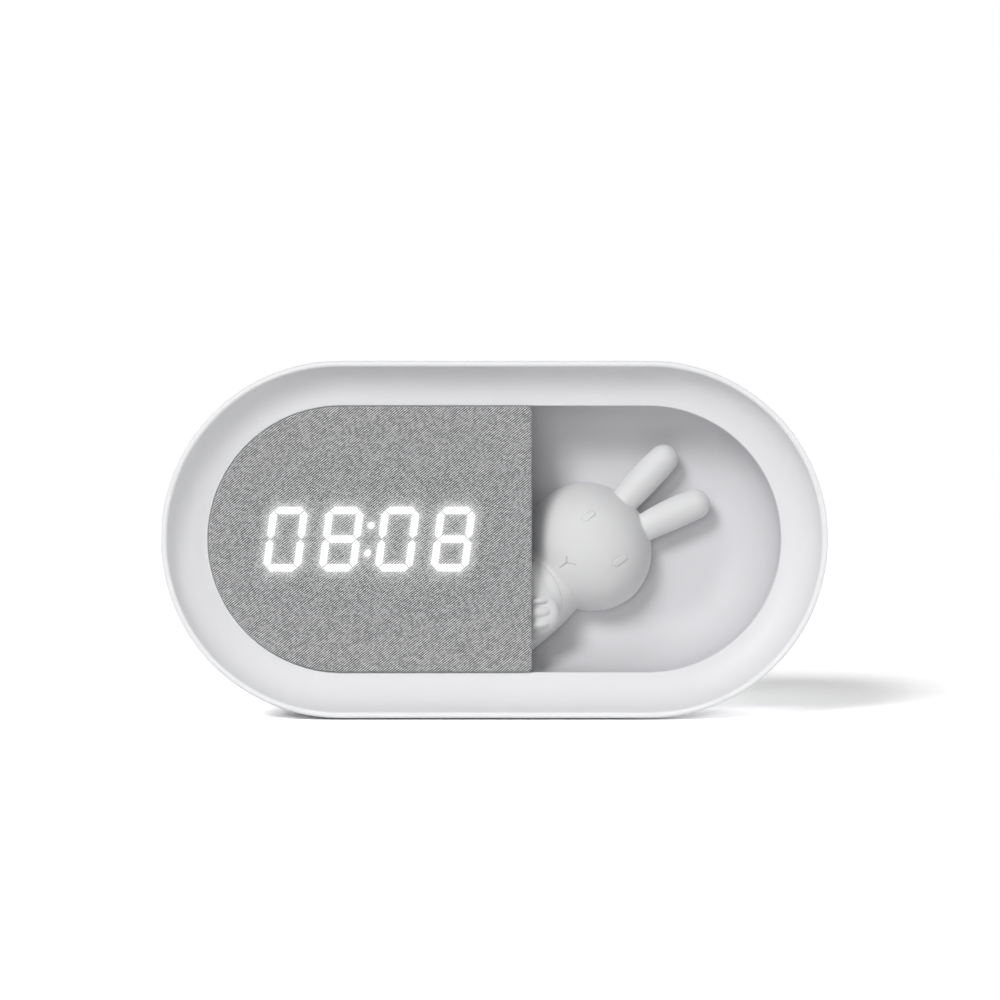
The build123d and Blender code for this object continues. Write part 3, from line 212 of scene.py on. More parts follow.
class Finish:
    """A material in the making, with its main shader."""

    def __init__(self, name, **settings):
        self.material = bpy.data.materials.new(name)
        self.material.use_nodes = True
        self.tree = self.material.node_tree
        self.shader = first(self.tree, "BSDF_PRINCIPLED")
        self.place = self.node("ShaderNodeTexCoord").outputs["Object"]
        for socket, value in settings.items():
            socket = socket.replace("_", " ").title().replace("Ior", "IOR")
            self.shader.inputs[socket].default_value = value

    def node(self, kind, inputs=(), **settings):
        return add_node(self.tree, kind, inputs, **settings)

    def noise(self, scale, detail=2.0, place=None, **settings):
        inputs = {"Vector": place or self.place, "Scale": scale, "Detail": detail, **settings}
        return Field(self.tree, self.node("ShaderNodeTexNoise", inputs).outputs[0])

    def axes(self, source=None):
        """The separate coordinates, from the place on the object or another vector."""
        node = self.node("ShaderNodeSeparateXYZ", {"Vector": source or self.place})
        return [Field(self.tree, output) for output in node.outputs]

    def tint(self, amount, low, high):
        """Colour the surface by a field, from low, which may be a socket, to high."""
        low = low if isinstance(low, bpy.types.NodeSocket) else (*low, 1)
        inputs = {"Factor": amount, "A": low, "B": (*high, 1)}
        mixed = self.node("ShaderNodeMix", inputs, data_type="RGBA").outputs["Result"]
        self.set("Base Color", mixed)
        return mixed

    def shade(self, amount, tone, low, high):
        """Colour the surface by a field, between two shares of a tone."""
        return self.tint(amount, *([min(1, channel * part) for channel in tone] for part in (low, high)))

    def rough(self, pattern, low, high):
        """Spread the roughness over a noise."""
        self.set("Roughness", pattern.spread(low, high))

    def set(self, socket, value):
        self.tree.links.new(getattr(value, "source", value), self.shader.inputs[socket])

    def relief(self, height, depth, strength=1.0):
        """Raise the surface by a field, up to a depth in metres."""
        inputs = {"Height": height, "Distance": depth, "Strength": strength}
        if self.shader.inputs["Normal"].is_linked:
            inputs["Normal"] = self.shader.inputs["Normal"].links[0].from_socket
        self.set("Normal", self.node("ShaderNodeBump", inputs).outputs[0])


# --- Finishes ---
# Depth of the painted highlight along the front shell's foremost edge.
RIM_HIGHLIGHT_WIDTH = 0.0012


def moulded_plastic(name, tone, roughness=0.48, grain=900, cloud=0.02, rim_highlight=None):
    """Injection-moulded plastic: fine grain, faint flow clouds, uneven sheen and, where a rim colour is
    given, a painted highlight along the front edge.
    """
    finish = Finish(name, specular_ior_level=0.35)
    base = finish.shade(finish.noise(35, 3).spread(), tone, 1 - cloud, 1 + cloud / 2)
    if rim_highlight is not None:
        # Painted highlight: the foremost edge is coloured whiter, for the light that the rim catches.
        front = finish.axes()[1].between(SHELL_LOW.y, SHELL_LOW.y + RIM_HIGHLIGHT_WIDTH, 1, 0, smooth=True)
        finish.tint(front, base, rim_highlight)
    finish.rough(finish.noise(120, 3), roughness - 0.05, roughness + 0.05)
    finish.relief(finish.noise(grain, 3), 6e-6)
    return finish.material


def soft_silicone(name, tone):
    """Matt silicone that lets a little light through, with a faint powdery bloom."""
    finish = Finish(
        name, specular_ior_level=0.3, subsurface_weight=0.05, subsurface_scale=0.0006, sheen_weight=0.2,
        sheen_roughness=0.3,
    )
    finish.shade(finish.noise(60, 4).spread(), tone, 0.985, 1.01)
    finish.rough(finish.noise(200, 3), 0.5, 0.62)
    finish.relief(finish.noise(1400, 3), 4e-6)
    return finish.material


def milky_plastic(name, tone, roughness):
    """Clear plastic filled with a white diffusing powder."""
    finish = Finish(name, subsurface_weight=0.4, subsurface_scale=0.002, coat_weight=0.3)
    finish.shade(finish.noise(400, 4).between(0.35, 0.65), tone, 0.96, 1)
    finish.rough(finish.noise(150), roughness - 0.06, roughness + 0.06)
    finish.relief(finish.noise(2500, 2), 2e-6)
    return finish.material


def circuit_board_finish(name, tone):
    """Solder mask over copper tracks that run in straight steps."""
    finish = Finish(name, coat_weight=0.4, coat_roughness=0.2)
    blocks = finish.node(
        "ShaderNodeTexVoronoi", {"Vector": finish.place, "Scale": 420, "Randomness": 0.55},
        distance="CHEBYCHEV", feature="F1",
    )
    tracks = Field(finish.tree, blocks.outputs["Distance"]).between(0.32, 0.38)
    finish.shade(tracks, tone, 0.75, 1.5)
    finish.rough(finish.noise(300), 0.3, 0.45)
    finish.relief(tracks, 1.5e-5)
    return finish.material


def drawn_metal(name, tone, roughness=0.32, across=(40, 40, 3000)):
    """Plated metal with fine lines from drawing or stamping."""
    finish = Finish(name, metallic=1.0)
    place = finish.node("ShaderNodeMapping", {"Vector": finish.place, "Scale": across}).outputs[0]
    lines = finish.noise(1, 3, place)
    finish.shade(lines.spread(), tone, 0.85, 1.1)
    finish.rough(lines, roughness - 0.08, roughness + 0.1)
    finish.relief(lines, 4e-6)
    return finish.material


def soft_rubber(name, tone, roughness=0.75):
    """Rubber with a dry, slightly dusty skin."""
    finish = Finish(name, specular_ior_level=0.25)
    finish.shade(finish.noise(150, 5).between(0.35, 0.7), tone, 0.9, 1.12)
    finish.rough(finish.noise(250), roughness - 0.08, roughness + 0.08)
    finish.relief(finish.noise(1500, 4), 1.2e-5)
    return finish.material


def ribbon_finish(name, tone):
    """Flat cable: side-by-side conductors under a clear jacket."""
    finish = Finish(name, coat_weight=0.5, coat_roughness=0.15, roughness=0.4)
    x, _, _ = finish.axes()
    pitch = 0.001
    cores = (x * (2 * math.pi / pitch)).math("COSINE")
    finish.shade(cores.between(-0.4, 0.6), tone, 0.7, 1)
    finish.relief(cores, 8e-5)
    return finish.material


def foil_wrap(name, tone):
    """Aluminium pouch with soft creases."""
    finish = Finish(name, metallic=0.8)
    creases = finish.noise(90, 4)
    finish.shade(creases.between(0.35, 0.65), tone, 0.88, 1.05)
    finish.rough(creases, 0.32, 0.5)
    finish.relief(creases, 2e-4, 0.6)
    return finish.material


def cone_paper_finish(name, tone):
    """Pressed paper pulp."""
    finish = Finish(name, specular_ior_level=0.2, roughness=0.85)
    fibres = finish.noise(700, 6, Distortion=2.0)
    finish.shade(fibres.between(0.35, 0.7), tone, 0.7, 1.4)
    finish.relief(fibres, 6e-5)
    return finish.material


SLOT_FINISHES = {
    "panel_plastic": (moulded_plastic, {"roughness": 0.6}),
    "light_guide": (milky_plastic, {"roughness": 0.2}),
    "reflector": (moulded_plastic, {"roughness": 0.4}),
    "clamp_plastic": (moulded_plastic, {"roughness": 0.55}),
    "diffuser": (milky_plastic, {"roughness": 0.4}),
    "circuit_board": (circuit_board_finish, {}),
    "led_body": (milky_plastic, {"roughness": 0.2}),
    "chip_body": (moulded_plastic, {"roughness": 0.55, "grain": 2500, "cloud": 0.15}),
    "plunger": (moulded_plastic, {"roughness": 0.4, "cloud": 0.1}),
    "key_plastic": (moulded_plastic, {"roughness": 0.42}),
    "switch_metal": (drawn_metal, {}),
    "tongue": (moulded_plastic, {"roughness": 0.5, "cloud": 0.1}),
    "plug_plastic": (moulded_plastic, {"roughness": 0.45}),
    "lead_jacket": (soft_rubber, {"roughness": 0.5}),
    "ribbon": (ribbon_finish, {}),
    "cell_wrap": (foil_wrap, {}),
    "bracket_plastic": (moulded_plastic, {"roughness": 0.5, "cloud": 0.1}),
    "speaker_metal": (drawn_metal, {"roughness": 0.45, "across": (600, 600, 600)}),
    "magnet": (drawn_metal, {"roughness": 0.4, "across": (30, 2500, 30)}),
    "cone_paper": (cone_paper_finish, {}),
    "gasket": (soft_rubber, {"roughness": 0.9}),
    "screw_steel": (drawn_metal, {"roughness": 0.3, "across": (200, 2500, 200)}),
    "foot_rubber": (soft_rubber, {}),
}


def dress(node, material):
    """Give a CAD node its finish."""
    NODES[node].data.materials.clear()
    NODES[node].data.materials.append(material)


def new_piece(name, vertices, faces, smooth=True):
    """A mesh object in the scene, with its place in its mesh."""
    mesh = bpy.data.meshes.new(name)
    mesh.from_pydata(vertices, [], faces)
    mesh.update()
    if smooth:
        mesh.shade_smooth()
    piece = bpy.data.objects.new(name, mesh)
    bpy.context.scene.collection.objects.link(piece)
    return piece


# --- Stage ---
# Name, degrees from straight ahead (right is above nought), degrees up, spread in degrees, strength.
LAMPS = (
    ("key_light", -27, 30, 20, 0.55),
    ("front_fill", -10, 3, 26, 0.25),
    ("upper_fill", -45, 72, 30, 0.05),
    ("side_fill", 85, 4, 30, 0.52),
    ("back_fill", 180, 4, 40, 0.85),
)
FLOOR_CONTRAST, FLOOR_HALF = 2.2, 6.0
WORLD_LIGHT = 0.05  # the part of the backdrop's white that lights the clock
# The camera looks straight ahead: its place in metres, its lens and its sensor in millimetres.
CAMERA_PLACE, CAMERA_LENS, CAMERA_SENSOR = (0.0014, -0.7275, 0.05605), 99.02, 36


def seen_rays(tree):
    """One for rays that should meet a white backdrop: from the camera, or by way of gloss or glass."""
    path = tree.nodes.new("ShaderNodeLightPath")
    camera, glossy, through = (
        Field(tree, path.outputs[name]) for name in ("Is Camera Ray", "Is Glossy Ray", "Is Transmission Ray")
    )
    return camera.higher(glossy).higher(through)


def floor_material(tone):
    """White to the eye, and grey where the clock shades it."""
    finish = Finish("floor", roughness=0.9, specular_ior_level=0.0)
    finish.shade(finish.noise(3, 2).spread(), tone, 0.995, 1)
    eye = finish.node("ShaderNodeBsdfDiffuse", {"Color": (FLOOR_CONTRAST,) * 3 + (1,)}).outputs[0]
    shaders = {0: seen_rays(finish.tree), 1: finish.shader.outputs[0], 2: eye}
    both = finish.node("ShaderNodeMixShader", shaders).outputs[0]
    finish.tree.links.new(both, first(finish.tree, "OUTPUT_MATERIAL").inputs["Surface"])
    return finish.material


class CLOCK_OT_stage(bpy.types.Operator):
    """Make the floor, the soft light and the camera."""

    bl_idname = "clock.stage"
    bl_label = "Stage"

    def execute(self, context):
        scene = context.scene
        corners = [(x * FLOOR_HALF, y * FLOOR_HALF, 0) for x, y in ((-1, -1), (1, -1), (1, 1), (-1, 1))]
        floor = new_piece("floor", corners, [(0, 1, 2, 3)])
        floor.data.materials.append(floor_material(scene.clock_colours.floor))

        world = scene.world or bpy.data.worlds.new("studio")
        scene.world = world
        world.use_nodes = True
        tree = world.node_tree
        background = first(tree, "BACKGROUND")
        background.inputs["Color"].default_value = (1, 1, 1, 1)
        brightness = seen_rays(tree).between(0, 1, WORLD_LIGHT, 1.0)
        tree.links.new(brightness.source, background.inputs["Strength"])

        for name, azimuth, elevation, spread, strength in LAMPS:
            lamp = bpy.data.lights.new(name, "SUN")
            lamp.energy = strength * math.pi
            lamp.angle = math.radians(spread)
            sun = bpy.data.objects.new(name, lamp)
            ahead, up = math.radians(azimuth), math.radians(elevation)
            toward = Vector((math.sin(ahead) * math.cos(up), -math.cos(ahead) * math.cos(up), math.sin(up)))
            sun.rotation_euler = toward.to_track_quat("Z", "Y").to_euler()
            scene.collection.objects.link(sun)

        lens = bpy.data.cameras.new("camera")
        lens.sensor_width = CAMERA_SENSOR
        lens.lens = CAMERA_LENS
        lens.clip_start = 0.01
        camera = bpy.data.objects.new("camera", lens)
        camera.location = CAMERA_PLACE
        camera.rotation_euler = (math.radians(90), 0, 0)
        scene.collection.objects.link(camera)
        scene.camera = camera
        scene.view_settings.view_transform = "Standard"
        return {"FINISHED"}


# --- Moulded pieces and inner parts ---
class CLOCK_OT_case(bpy.types.Operator):
    """Finish the white moulded pieces: front shell, rear cover and alcove bowl."""

    bl_idname = "clock.case"
    bl_label = "Case"

    def execute(self, context):
        colours = context.scene.clock_colours
        white = moulded_plastic("case_plastic", colours.case)
        for node in SLOT_NODES["case_plastic"]:
            dress(node, white)
        # The front shell gets a painted highlight along its foremost edge.
        dress("front_shell", moulded_plastic("shell_plastic_painted_highlight", colours.case, rim_highlight=colours.rim_highlight))
        # The bowl takes a darker copy of the case's white: painted shade for the recess.
        dress("light_tray", moulded_plastic("bowl_plastic_painted_shade", colours.bowl, roughness=0.55))
        return {"FINISHED"}


class CLOCK_OT_inner_parts(bpy.types.Operator):
    """Finish the keys, feet and every piece inside the case."""

    bl_idname = "clock.inner_parts"
    bl_label = "Keys and Inner Parts"

    def execute(self, context):
        for slot, (finish, settings) in SLOT_FINISHES.items():
            material = finish(slot, SLOT_COLOURS[slot], **settings)
            for node in SLOT_NODES[slot]:
                dress(node, material)
        return {"FINISHED"}


# --- Cloth display ---
DIGIT_SLANT = math.radians(7.4)
ROW_END = 1.98  # digit pitches from the row's middle to its end
FAR, BAR_BLUR = 50, 0.03  # millimetres: beyond any glow, and half the soft edge of a bar
HALO_STRENGTH, CLOTH_IN_BAR = 0.32, 0.15  # against the bar's own light, and the cloth's own colour
RIB_WOBBLE, RIB_SHADE, FLOAT_SHADE = 0.05, 0.6, 0.42
EDGE_RINGS = 6
PAD_MARGIN, OVER_PADS, OFF_PLATE = 0.0008, 0.00008, 0.00002


def lit_distance(finish, sizes):
    """Distance in millimetres to the nearest lit bar or dot of 08:08, below nought inside one."""
    x, _, z = finish.axes()
    z = (z - (GUIDE_LOW.z + GUIDE_HIGH.z) / 2) / MM
    slanted = (x - (GUIDE_LOW.x + GUIDE_HIGH.x) / 2) / MM - z * math.tan(DIGIT_SLANT)
    pitch = sizes.digit_pitch / MM
    half_width = sizes.segment_width / MM / 2
    side = sizes.digit_width / MM / 2 - half_width
    top = sizes.digit_height / MM / 2 - half_width
    gap = sizes.segment_gap / MM / math.sqrt(2)
    # Each figure is a quarter of its box: both halves and both sides are alike.
    step = slanted / pitch + 2
    index = step.math("FLOOR")
    across = abs((step - index - 0.5) * pitch)
    up = abs(z)

    def bar(along, beside, reach):
        pointed = (abs(along) + abs(beside) - (reach - gap)) / math.sqrt(2)
        return (abs(beside) - half_width).higher(pointed)

    ends = bar(across, up - top, side)
    uprights = bar(up - top / 2, across - side, top / 2)
    # Every second figure is a nought, which has no middle bar.
    middle = bar(across, up, side) + index.math("MODULO", 2.0).math("COMPARE", 0.0, 0.1) * FAR
    beyond = (abs(slanted / pitch) - ROW_END).math("GREATER_THAN", 0.0) * FAR
    bars = ends.lower(uprights).lower(middle) + beyond
    dot = (slanted * slanted + (up - sizes.dot_spacing / MM / 2).math("POWER", 2.0)).math("SQRT")
    return bars.lower(dot - sizes.dot_radius / MM)


def display_cloth(sizes, colours):
    """Twill cloth in two yarns, with the lit figures showing through."""
    finish = Finish(
        "display_cloth", roughness=0.9, specular_ior_level=0.1, sheen_weight=0.15,
        emission_color=(*colours.light, 1),
    )
    flat = finish.node("ShaderNodeUVMap", uv_map="cut").outputs[0]
    across, up, _ = finish.axes(flat)
    across, up = across / sizes.rib_across, up / sizes.rib_up
    rib = across - up + finish.noise(500, 2, flat).between(0.25, 0.75, -RIB_WOBBLE, RIB_WOBBLE)
    profile = (rib * (2 * math.pi)).math("COSINE")
    # A float is the stretch of yarn that shows between two crossings, and each has its own tone.
    row = (rib + 0.5).math("FLOOR")
    along = (up + across + row * 0.5).math("FLOOR")
    cell = finish.node("ShaderNodeCombineXYZ", {"X": row, "Y": along}).outputs[0]
    specks = finish.node("ShaderNodeTexWhiteNoise", {"Vector": cell}, noise_dimensions="2D")
    speck = Field(finish.tree, specks.outputs["Value"])
    tone = profile * RIB_SHADE + (speck - 0.5) * FLOAT_SHADE + 0.5
    distance = lit_distance(finish, sizes)
    lit = distance.between(-BAR_BLUR, BAR_BLUR, 1, 0)
    halo = (distance.higher(0.0) / (-sizes.halo / MM)).math("EXPONENT") * HALO_STRENGTH
    dark = lit.between(0, 1, 1, CLOTH_IN_BAR)
    cloth = finish.tint(tone, colours.yarn_dark, colours.yarn_light)
    dimmed = finish.node("ShaderNodeVectorMath", {0: cloth, "Scale": dark}, operation="SCALE").outputs[0]
    finish.set("Base Color", dimmed)
    finish.set("Emission Strength", lit.higher(halo) * colours.light_strength)
    finish.relief(tone, 2e-5, 0.3)
    return finish.material


def cloth_rows(low, high, sizes, rows, columns):
    """Grid points of the cloth's flat face, with the outward direction along its border."""
    radius = (high.z - low.z) / 2
    middle = (high.z + low.z) / 2
    end = low.x + radius
    inner = radius - sizes.cloth_edge
    reach = sizes.cloth_corner - sizes.cloth_edge
    turn = np.linspace(-math.pi / 2, math.pi / 2, rows)
    up = inner * np.sin(turn)
    left = end - inner * np.cos(turn)
    over = np.clip(np.abs(up) - (inner - reach), 0, reach)
    fall = np.sqrt(np.maximum(reach**2 - over**2, 0))
    right = high.x - sizes.cloth_edge - reach + fall
    share_across = (1 - np.cos(np.linspace(0, math.pi, columns))) / 2
    x = left[:, None] + share_across[None, :] * (right - left)[:, None]
    z = np.repeat(up[:, None], columns, axis=1)
    outward_left = np.stack([-np.cos(turn), np.sin(turn)], 1)
    outward_right = np.stack([fall / reach, over / reach * np.sign(up)], 1)
    return x, z, middle, outward_left, outward_right


def cloth_piece(sizes):
    """The cloth skin: a flat face, a rolled edge and a wrap round the plate, with its own thickness."""
    low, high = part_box("fabric_cover")
    plate_low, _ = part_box("display_panel")
    rows, columns = 121, 121
    x, z, middle, outward_left, outward_right = cloth_rows(low, high, sizes, rows, columns)
    count = rows * columns
    number = np.arange(count).reshape(rows, columns)
    border = np.concatenate([number[0, :-1], number[:-1, -1], number[-1, :0:-1], number[:0:-1, 0]])
    outward = np.zeros((count, 2))
    outward[number[:, 0]] = outward_left
    outward[number[:, -1]] = outward_right
    outward[number[0]] = (0, -1)
    outward[number[-1]] = (0, 1)
    flat_x, flat_z = x.ravel(), z.ravel()
    flat = np.stack([flat_x, flat_z], 1)
    points = [np.stack([flat_x, np.full(count, low.y), flat_z], 1)]
    cut = [flat]

    def ring(offset, depth, run):
        """The border moved outward to a depth; run is its distance along the cut cloth."""
        at = flat[border] + outward[border] * offset
        points.append(np.stack([at[:, 0], np.full(len(border), depth), at[:, 1]], 1))
        cut.append(flat[border] + outward[border] * run)

    edge = sizes.cloth_edge
    for angle in np.linspace(0, math.pi / 2, EDGE_RINGS + 1)[1:]:
        ring(edge * math.sin(angle), low.y + edge * (1 - math.cos(angle)), edge * angle)
    wrap = edge * math.pi / 2 + high.y - low.y - edge
    ring(edge, high.y, wrap)
    ring(0.0, high.y, wrap)
    # The back of the cloth lies on the plate, and rises over the lit pads' tips.
    over_pads = (flat_x > GUIDE_LOW.x + PAD_MARGIN) & (flat_x < GUIDE_HIGH.x - PAD_MARGIN)
    half_height = (GUIDE_HIGH.z - GUIDE_LOW.z) / 2
    over_pads &= np.abs(flat_z + middle - (GUIDE_LOW.z + GUIDE_HIGH.z) / 2) < half_height - PAD_MARGIN
    back = np.where(over_pads, low.y + OVER_PADS, plate_low.y - OFF_PLATE)
    points.append(np.stack([flat_x, back, flat_z], 1))
    cut.append(flat)
    vertices = np.concatenate(points)
    vertices[:, 2] += middle
    cut = np.concatenate(cut)

    quads = np.stack([number[:-1, :-1], number[:-1, 1:], number[1:, 1:], number[1:, :-1]], -1).reshape(-1, 4)
    faces = [quads]
    length_round, rings = len(border), EDGE_RINGS + 2
    loops = [border] + [count + k * length_round + np.arange(length_round) for k in range(rings)]
    inside = count + rings * length_round
    loops.append(inside + border)
    for near, far in zip(loops, loops[1:]):
        faces.append(np.stack([near, far, np.roll(far, -1), np.roll(near, -1)], 1))
    faces.append(inside + quads[:, ::-1])
    faces = np.concatenate(faces)
    piece = new_piece("cloth_skin", vertices.tolist(), faces.tolist())
    layer = piece.data.uv_layers.new(name="cut")
    corner = np.zeros(len(piece.data.loops), int)
    piece.data.loops.foreach_get("vertex_index", corner)
    layer.data.foreach_set("uv", (cut[corner] - cut.min(0)).ravel())
    return piece, wrap


class CLOCK_OT_cloth(bpy.types.Operator):
    """Stretch the twill cloth over the display plate, with the lit figures behind it."""

    bl_idname = "clock.cloth"
    bl_label = "Display Cloth"

    def execute(self, context):
        scene = context.scene
        piece, wrap = cloth_piece(scene.clock_display)
        piece.data.materials.append(display_cloth(scene.clock_display, scene.clock_colours))
        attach(piece, "case")
        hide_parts("fabric_cover")
        return {"FINISHED"}


# --- Screws and dust screen, grown with Geometry Nodes ---
# Shares of a screw head's radius and height, from its seat to its crown.
HEAD_PROFILE = ((1, 0), (1, 0.45), (0.93, 0.72), (0.8, 0.9), (0.62, 1))
SCREW_POINT = (0.4, 0.8)  # end radius and length, in shank radii
RECESS_REACH, RECESS_TAPER, RECESS_FLOOR = 0.5, 0.75, 0.4
SCREW_SEED = 5
LEVEL_WIRES = -1.2  # where they cross the upright wires, in wire radii along Y


class Growth:
    """A Geometry Nodes tree in the making: it grows a mesh on points, from named sizes."""

    def __init__(self, name, sockets):
        self.tree = bpy.data.node_groups.new(name, "GeometryNodeTree")
        face = self.tree.interface
        for socket, kind in {"Points": "Geometry", **sockets, "Material": "Material"}.items():
            face.new_socket(socket, in_out="INPUT", socket_type="NodeSocket" + kind)
        face.new_socket("Mesh", in_out="OUTPUT", socket_type="NodeSocketGeometry")
        self.given = self.tree.nodes.new("NodeGroupInput").outputs

    def size(self, name):
        return Field(self.tree, self.given[name])

    def node(self, kind, inputs=(), **settings):
        return add_node(self.tree, "GeometryNode" + kind, inputs, **settings)

    def vector(self, x=0.0, y=0.0, z=0.0):
        return add_node(self.tree, "ShaderNodeCombineXYZ", {"X": x, "Y": y, "Z": z}).outputs[0]

    def finish(self, *meshes):
        """End the tree in plain faces with a material."""
        joined = self.node("JoinGeometry", {"Geometry": list(meshes)}).outputs[0]
        real = self.node("RealizeInstances", {"Geometry": joined}).outputs[0]
        dressed = self.node("SetMaterial", {"Geometry": real, "Material": self.given["Material"]}).outputs[0]
        self.tree.links.new(dressed, self.tree.nodes.new("NodeGroupOutput").inputs["Mesh"])
        return self.tree


def grown(name, tree, points, values):
    """A plain mesh piece from a tree, its points and its values."""
    piece = new_piece(name, points, [], smooth=False)
    growth = piece.modifiers.new("growth", "NODES")
    growth.node_group = tree
    for socket in tree.interface.items_tree:
        if socket.in_out == "INPUT" and socket.name in values:
            growth[socket.identifier] = values[socket.name]
    depsgraph = bpy.context.evaluated_depsgraph_get()
    mesh = bpy.data.meshes.new_from_object(piece.evaluated_get(depsgraph), depsgraph=depsgraph)
    piece.modifiers.clear()
    piece.data = mesh
    mesh.materials.clear()
    mesh.materials.append(values["Material"])
    return piece


def screw_form(sizes, shank_length):
    """A pan-head screw along Z: turned rings, a cross recess in its crown and a blunt point."""
    radius, height, shank = sizes.screw_head_radius, sizes.screw_head_height, sizes.screw_shank_radius
    slot, reach, sides = sizes.screw_slot_width / 2, radius * RECESS_REACH, 32
    work = bmesh.new()

    def ring(outline, z):
        return [work.verts.new((x, y, z)) for x, y in outline]

    def round_outline(size):
        turns = (2 * math.pi * side / sides for side in range(sides))
        return [(size * math.cos(turn), size * math.sin(turn)) for turn in turns]

    def skin(low, high):
        return [work.faces.new((low[k - 1], low[k], high[k], high[k - 1])) for k in range(len(low))]

    blunt, taper = SCREW_POINT
    profile = [(shank * blunt, -shank_length), (shank, shank * taper - shank_length), (shank, 0.0)]
    profile += [(radius * across, height * up) for across, up in HEAD_PROFILE]
    rings = [ring(round_outline(size), z) for size, z in profile]
    for low, high in zip(rings, rings[1:]):
        skin(low, high)
    work.faces.new(rings[0])
    cross = [(slot, slot), (slot, reach), (-slot, reach)]
    for _ in range(3):
        cross += [(-y, x) for x, y in cross[-3:]]
    mouth = ring(cross, height)
    floor = ring([(x * RECESS_TAPER, y * RECESS_TAPER) for x, y in cross], height * RECESS_FLOOR)
    skin(floor, mouth)
    work.faces.new(floor)
    edges = [work.edges.get((loop[k - 1], loop[k])) for loop in (rings[-1], mouth) for k in range(len(loop))]
    bmesh.ops.triangle_fill(work, edges=edges, use_beauty=True)
    bmesh.ops.recalc_face_normals(work, faces=work.faces)
    form = new_piece("screw_form", [], [], smooth=False)
    work.to_mesh(form.data)
    work.free()
    return form


def screw_growth():
    """A screw on each point, its head toward +Y and its cross turned by chance."""
    growth = Growth("screw_growth", {"Most Turn": "Float", "Form": "Object"})
    form = growth.node("ObjectInfo", {"Object": growth.given["Form"]}).outputs["Geometry"]
    placed = {"Points": growth.given["Points"], "Instance": form, "Rotation": (-math.pi / 2, 0, 0)}
    screws = growth.node("InstanceOnPoints", placed).outputs[0]
    # Sockets 2 and 3 are the least and the most of a chance number, and output 1 is the number.
    span = {2: 0.0, 3: growth.size("Most Turn"), "Seed": SCREW_SEED}
    chance = add_node(growth.tree, "FunctionNodeRandomValue", span, data_type="FLOAT").outputs[1]
    spun = {"Instances": screws, "Rotation": growth.vector(z=chance), "Local Space": True}
    return growth.finish(growth.node("RotateInstances", spun).outputs[0])


def screen_growth():
    """A round woven screen across Y: wires both ways, each as long as its chord."""
    growth = Growth("screen_growth", {"Radius": "Float", "Wire Radius": "Float"})
    radius, wire = growth.size("Radius"), growth.size("Wire Radius")
    place = {"Vector": growth.node("InputPosition").outputs[0]}
    x = Field(growth.tree, add_node(growth.tree, "ShaderNodeSeparateXYZ", place).outputs["X"])
    chord = (radius * radius - x * x).higher(0.0).math("SQRT") / radius
    rod = growth.node("MeshCylinder", {"Vertices": 6, "Radius": wire, "Depth": radius * 2.0}).outputs["Mesh"]
    placed = {"Points": growth.given["Points"], "Instance": rod, "Scale": growth.vector(1.0, 1.0, chord)}
    upright = growth.node("InstanceOnPoints", placed).outputs[0]
    beside = growth.vector(y=wire * LEVEL_WIRES)
    turned = {"Geometry": upright, "Translation": beside, "Rotation": (0, math.pi / 2, 0)}
    return growth.finish(upright, growth.node("Transform", turned).outputs[0])


class CLOCK_OT_rear_screws(bpy.types.Operator):
    """Put cross-recess screws in the rear cover's four corners."""

    bl_idname = "clock.rear_screws"
    bl_label = "Rear Screws"

    def execute(self, context):
        sizes = context.scene.clock_back
        low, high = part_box("rear_screws")
        radius = sizes.screw_head_radius
        seat = high.y - sizes.screw_head_height
        sides = (low.x + radius, high.x - radius)
        places = [(x, seat, z) for x in sides for z in (low.z + radius, high.z - radius)]
        form = screw_form(sizes, seat - low.y)
        values = {"Form": form, "Most Turn": math.pi / 2, "Material": NODES["rear_screws"].data.materials[0]}
        piece = grown("cross_recess_screws", screw_growth(), places, values)
        bpy.data.objects.remove(form)
        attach(piece, "case")
        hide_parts("rear_screws")
        return {"FINISHED"}


class CLOCK_OT_dust_screen(bpy.types.Operator):
    """Lay a woven dust screen behind the speaker's holes."""

    bl_idname = "clock.dust_screen"
    bl_label = "Dust Screen"

    def execute(self, context):
        sizes = context.scene.clock_back
        low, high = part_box("speaker_gasket")
        radius = (high.x - low.x) / 2 - sizes.gasket_width
        wires = int(radius / sizes.screen_pitch)
        places = [(number * sizes.screen_pitch, 0, 0) for number in range(-wires, wires + 1)]
        material = soft_rubber("screen_wire", SLOT_COLOURS["gasket"], roughness=0.5)
        values = {"Radius": radius, "Wire Radius": sizes.screen_wire_radius, "Material": material}
        piece = grown("dust_screen", screen_growth(), places, values)
        middle = Vector(((low.x + high.x) / 2, high.y - sizes.screen_wire_radius * 2, (low.z + high.z) / 2))
        piece.data.transform(Matrix.Translation(middle))
        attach(piece, "case")
        return {"FINISHED"}


# --- Rabbit figure ---
# Places, radii and depths in millimetres, tilts in degrees; an ear's places are x, z and half width.
HEAD, HEAD_RADII, HEAD_TILT = np.array([24.8, -2.0, -2.3]), (16.15, 16.0, 17.35), 35
BODY, BODY_RADII, BODY_TILT = (1.2, -3.0, -20.8), (36, 12.35, 12.35), 38
EAR_DEPTH, EAR_FLATNESS, EAR_RIDGE, EAR_SAMPLES = -5.5, 0.85, 1.75, 33
UPPER_EAR = ((32.5, 8.0, 3.3), (34.8, 10.5, 3.6), (40.4, 16.85, 4.14), (44.3, 20.8, 3.8))
LOWER_EAR = ((37.2, 1.7, 3.3), (39.8, 2.95, 3.6), (45.6, 5.95, 4.1), (48.85, 7.4, 4.2), (52.6, 8.9, 3.9))
ARM, ARM_RADII, ARM_TILT = (8.1, -9.5, -15.5), (11.2, 6.8, 8.9), -65
ARM_RELIEF, ARM_EDGE = 0.3, 0.1
PAW, PAW_RADII = (11.2, -14.3, -19.3), (5.5, 2.6, 5.5)
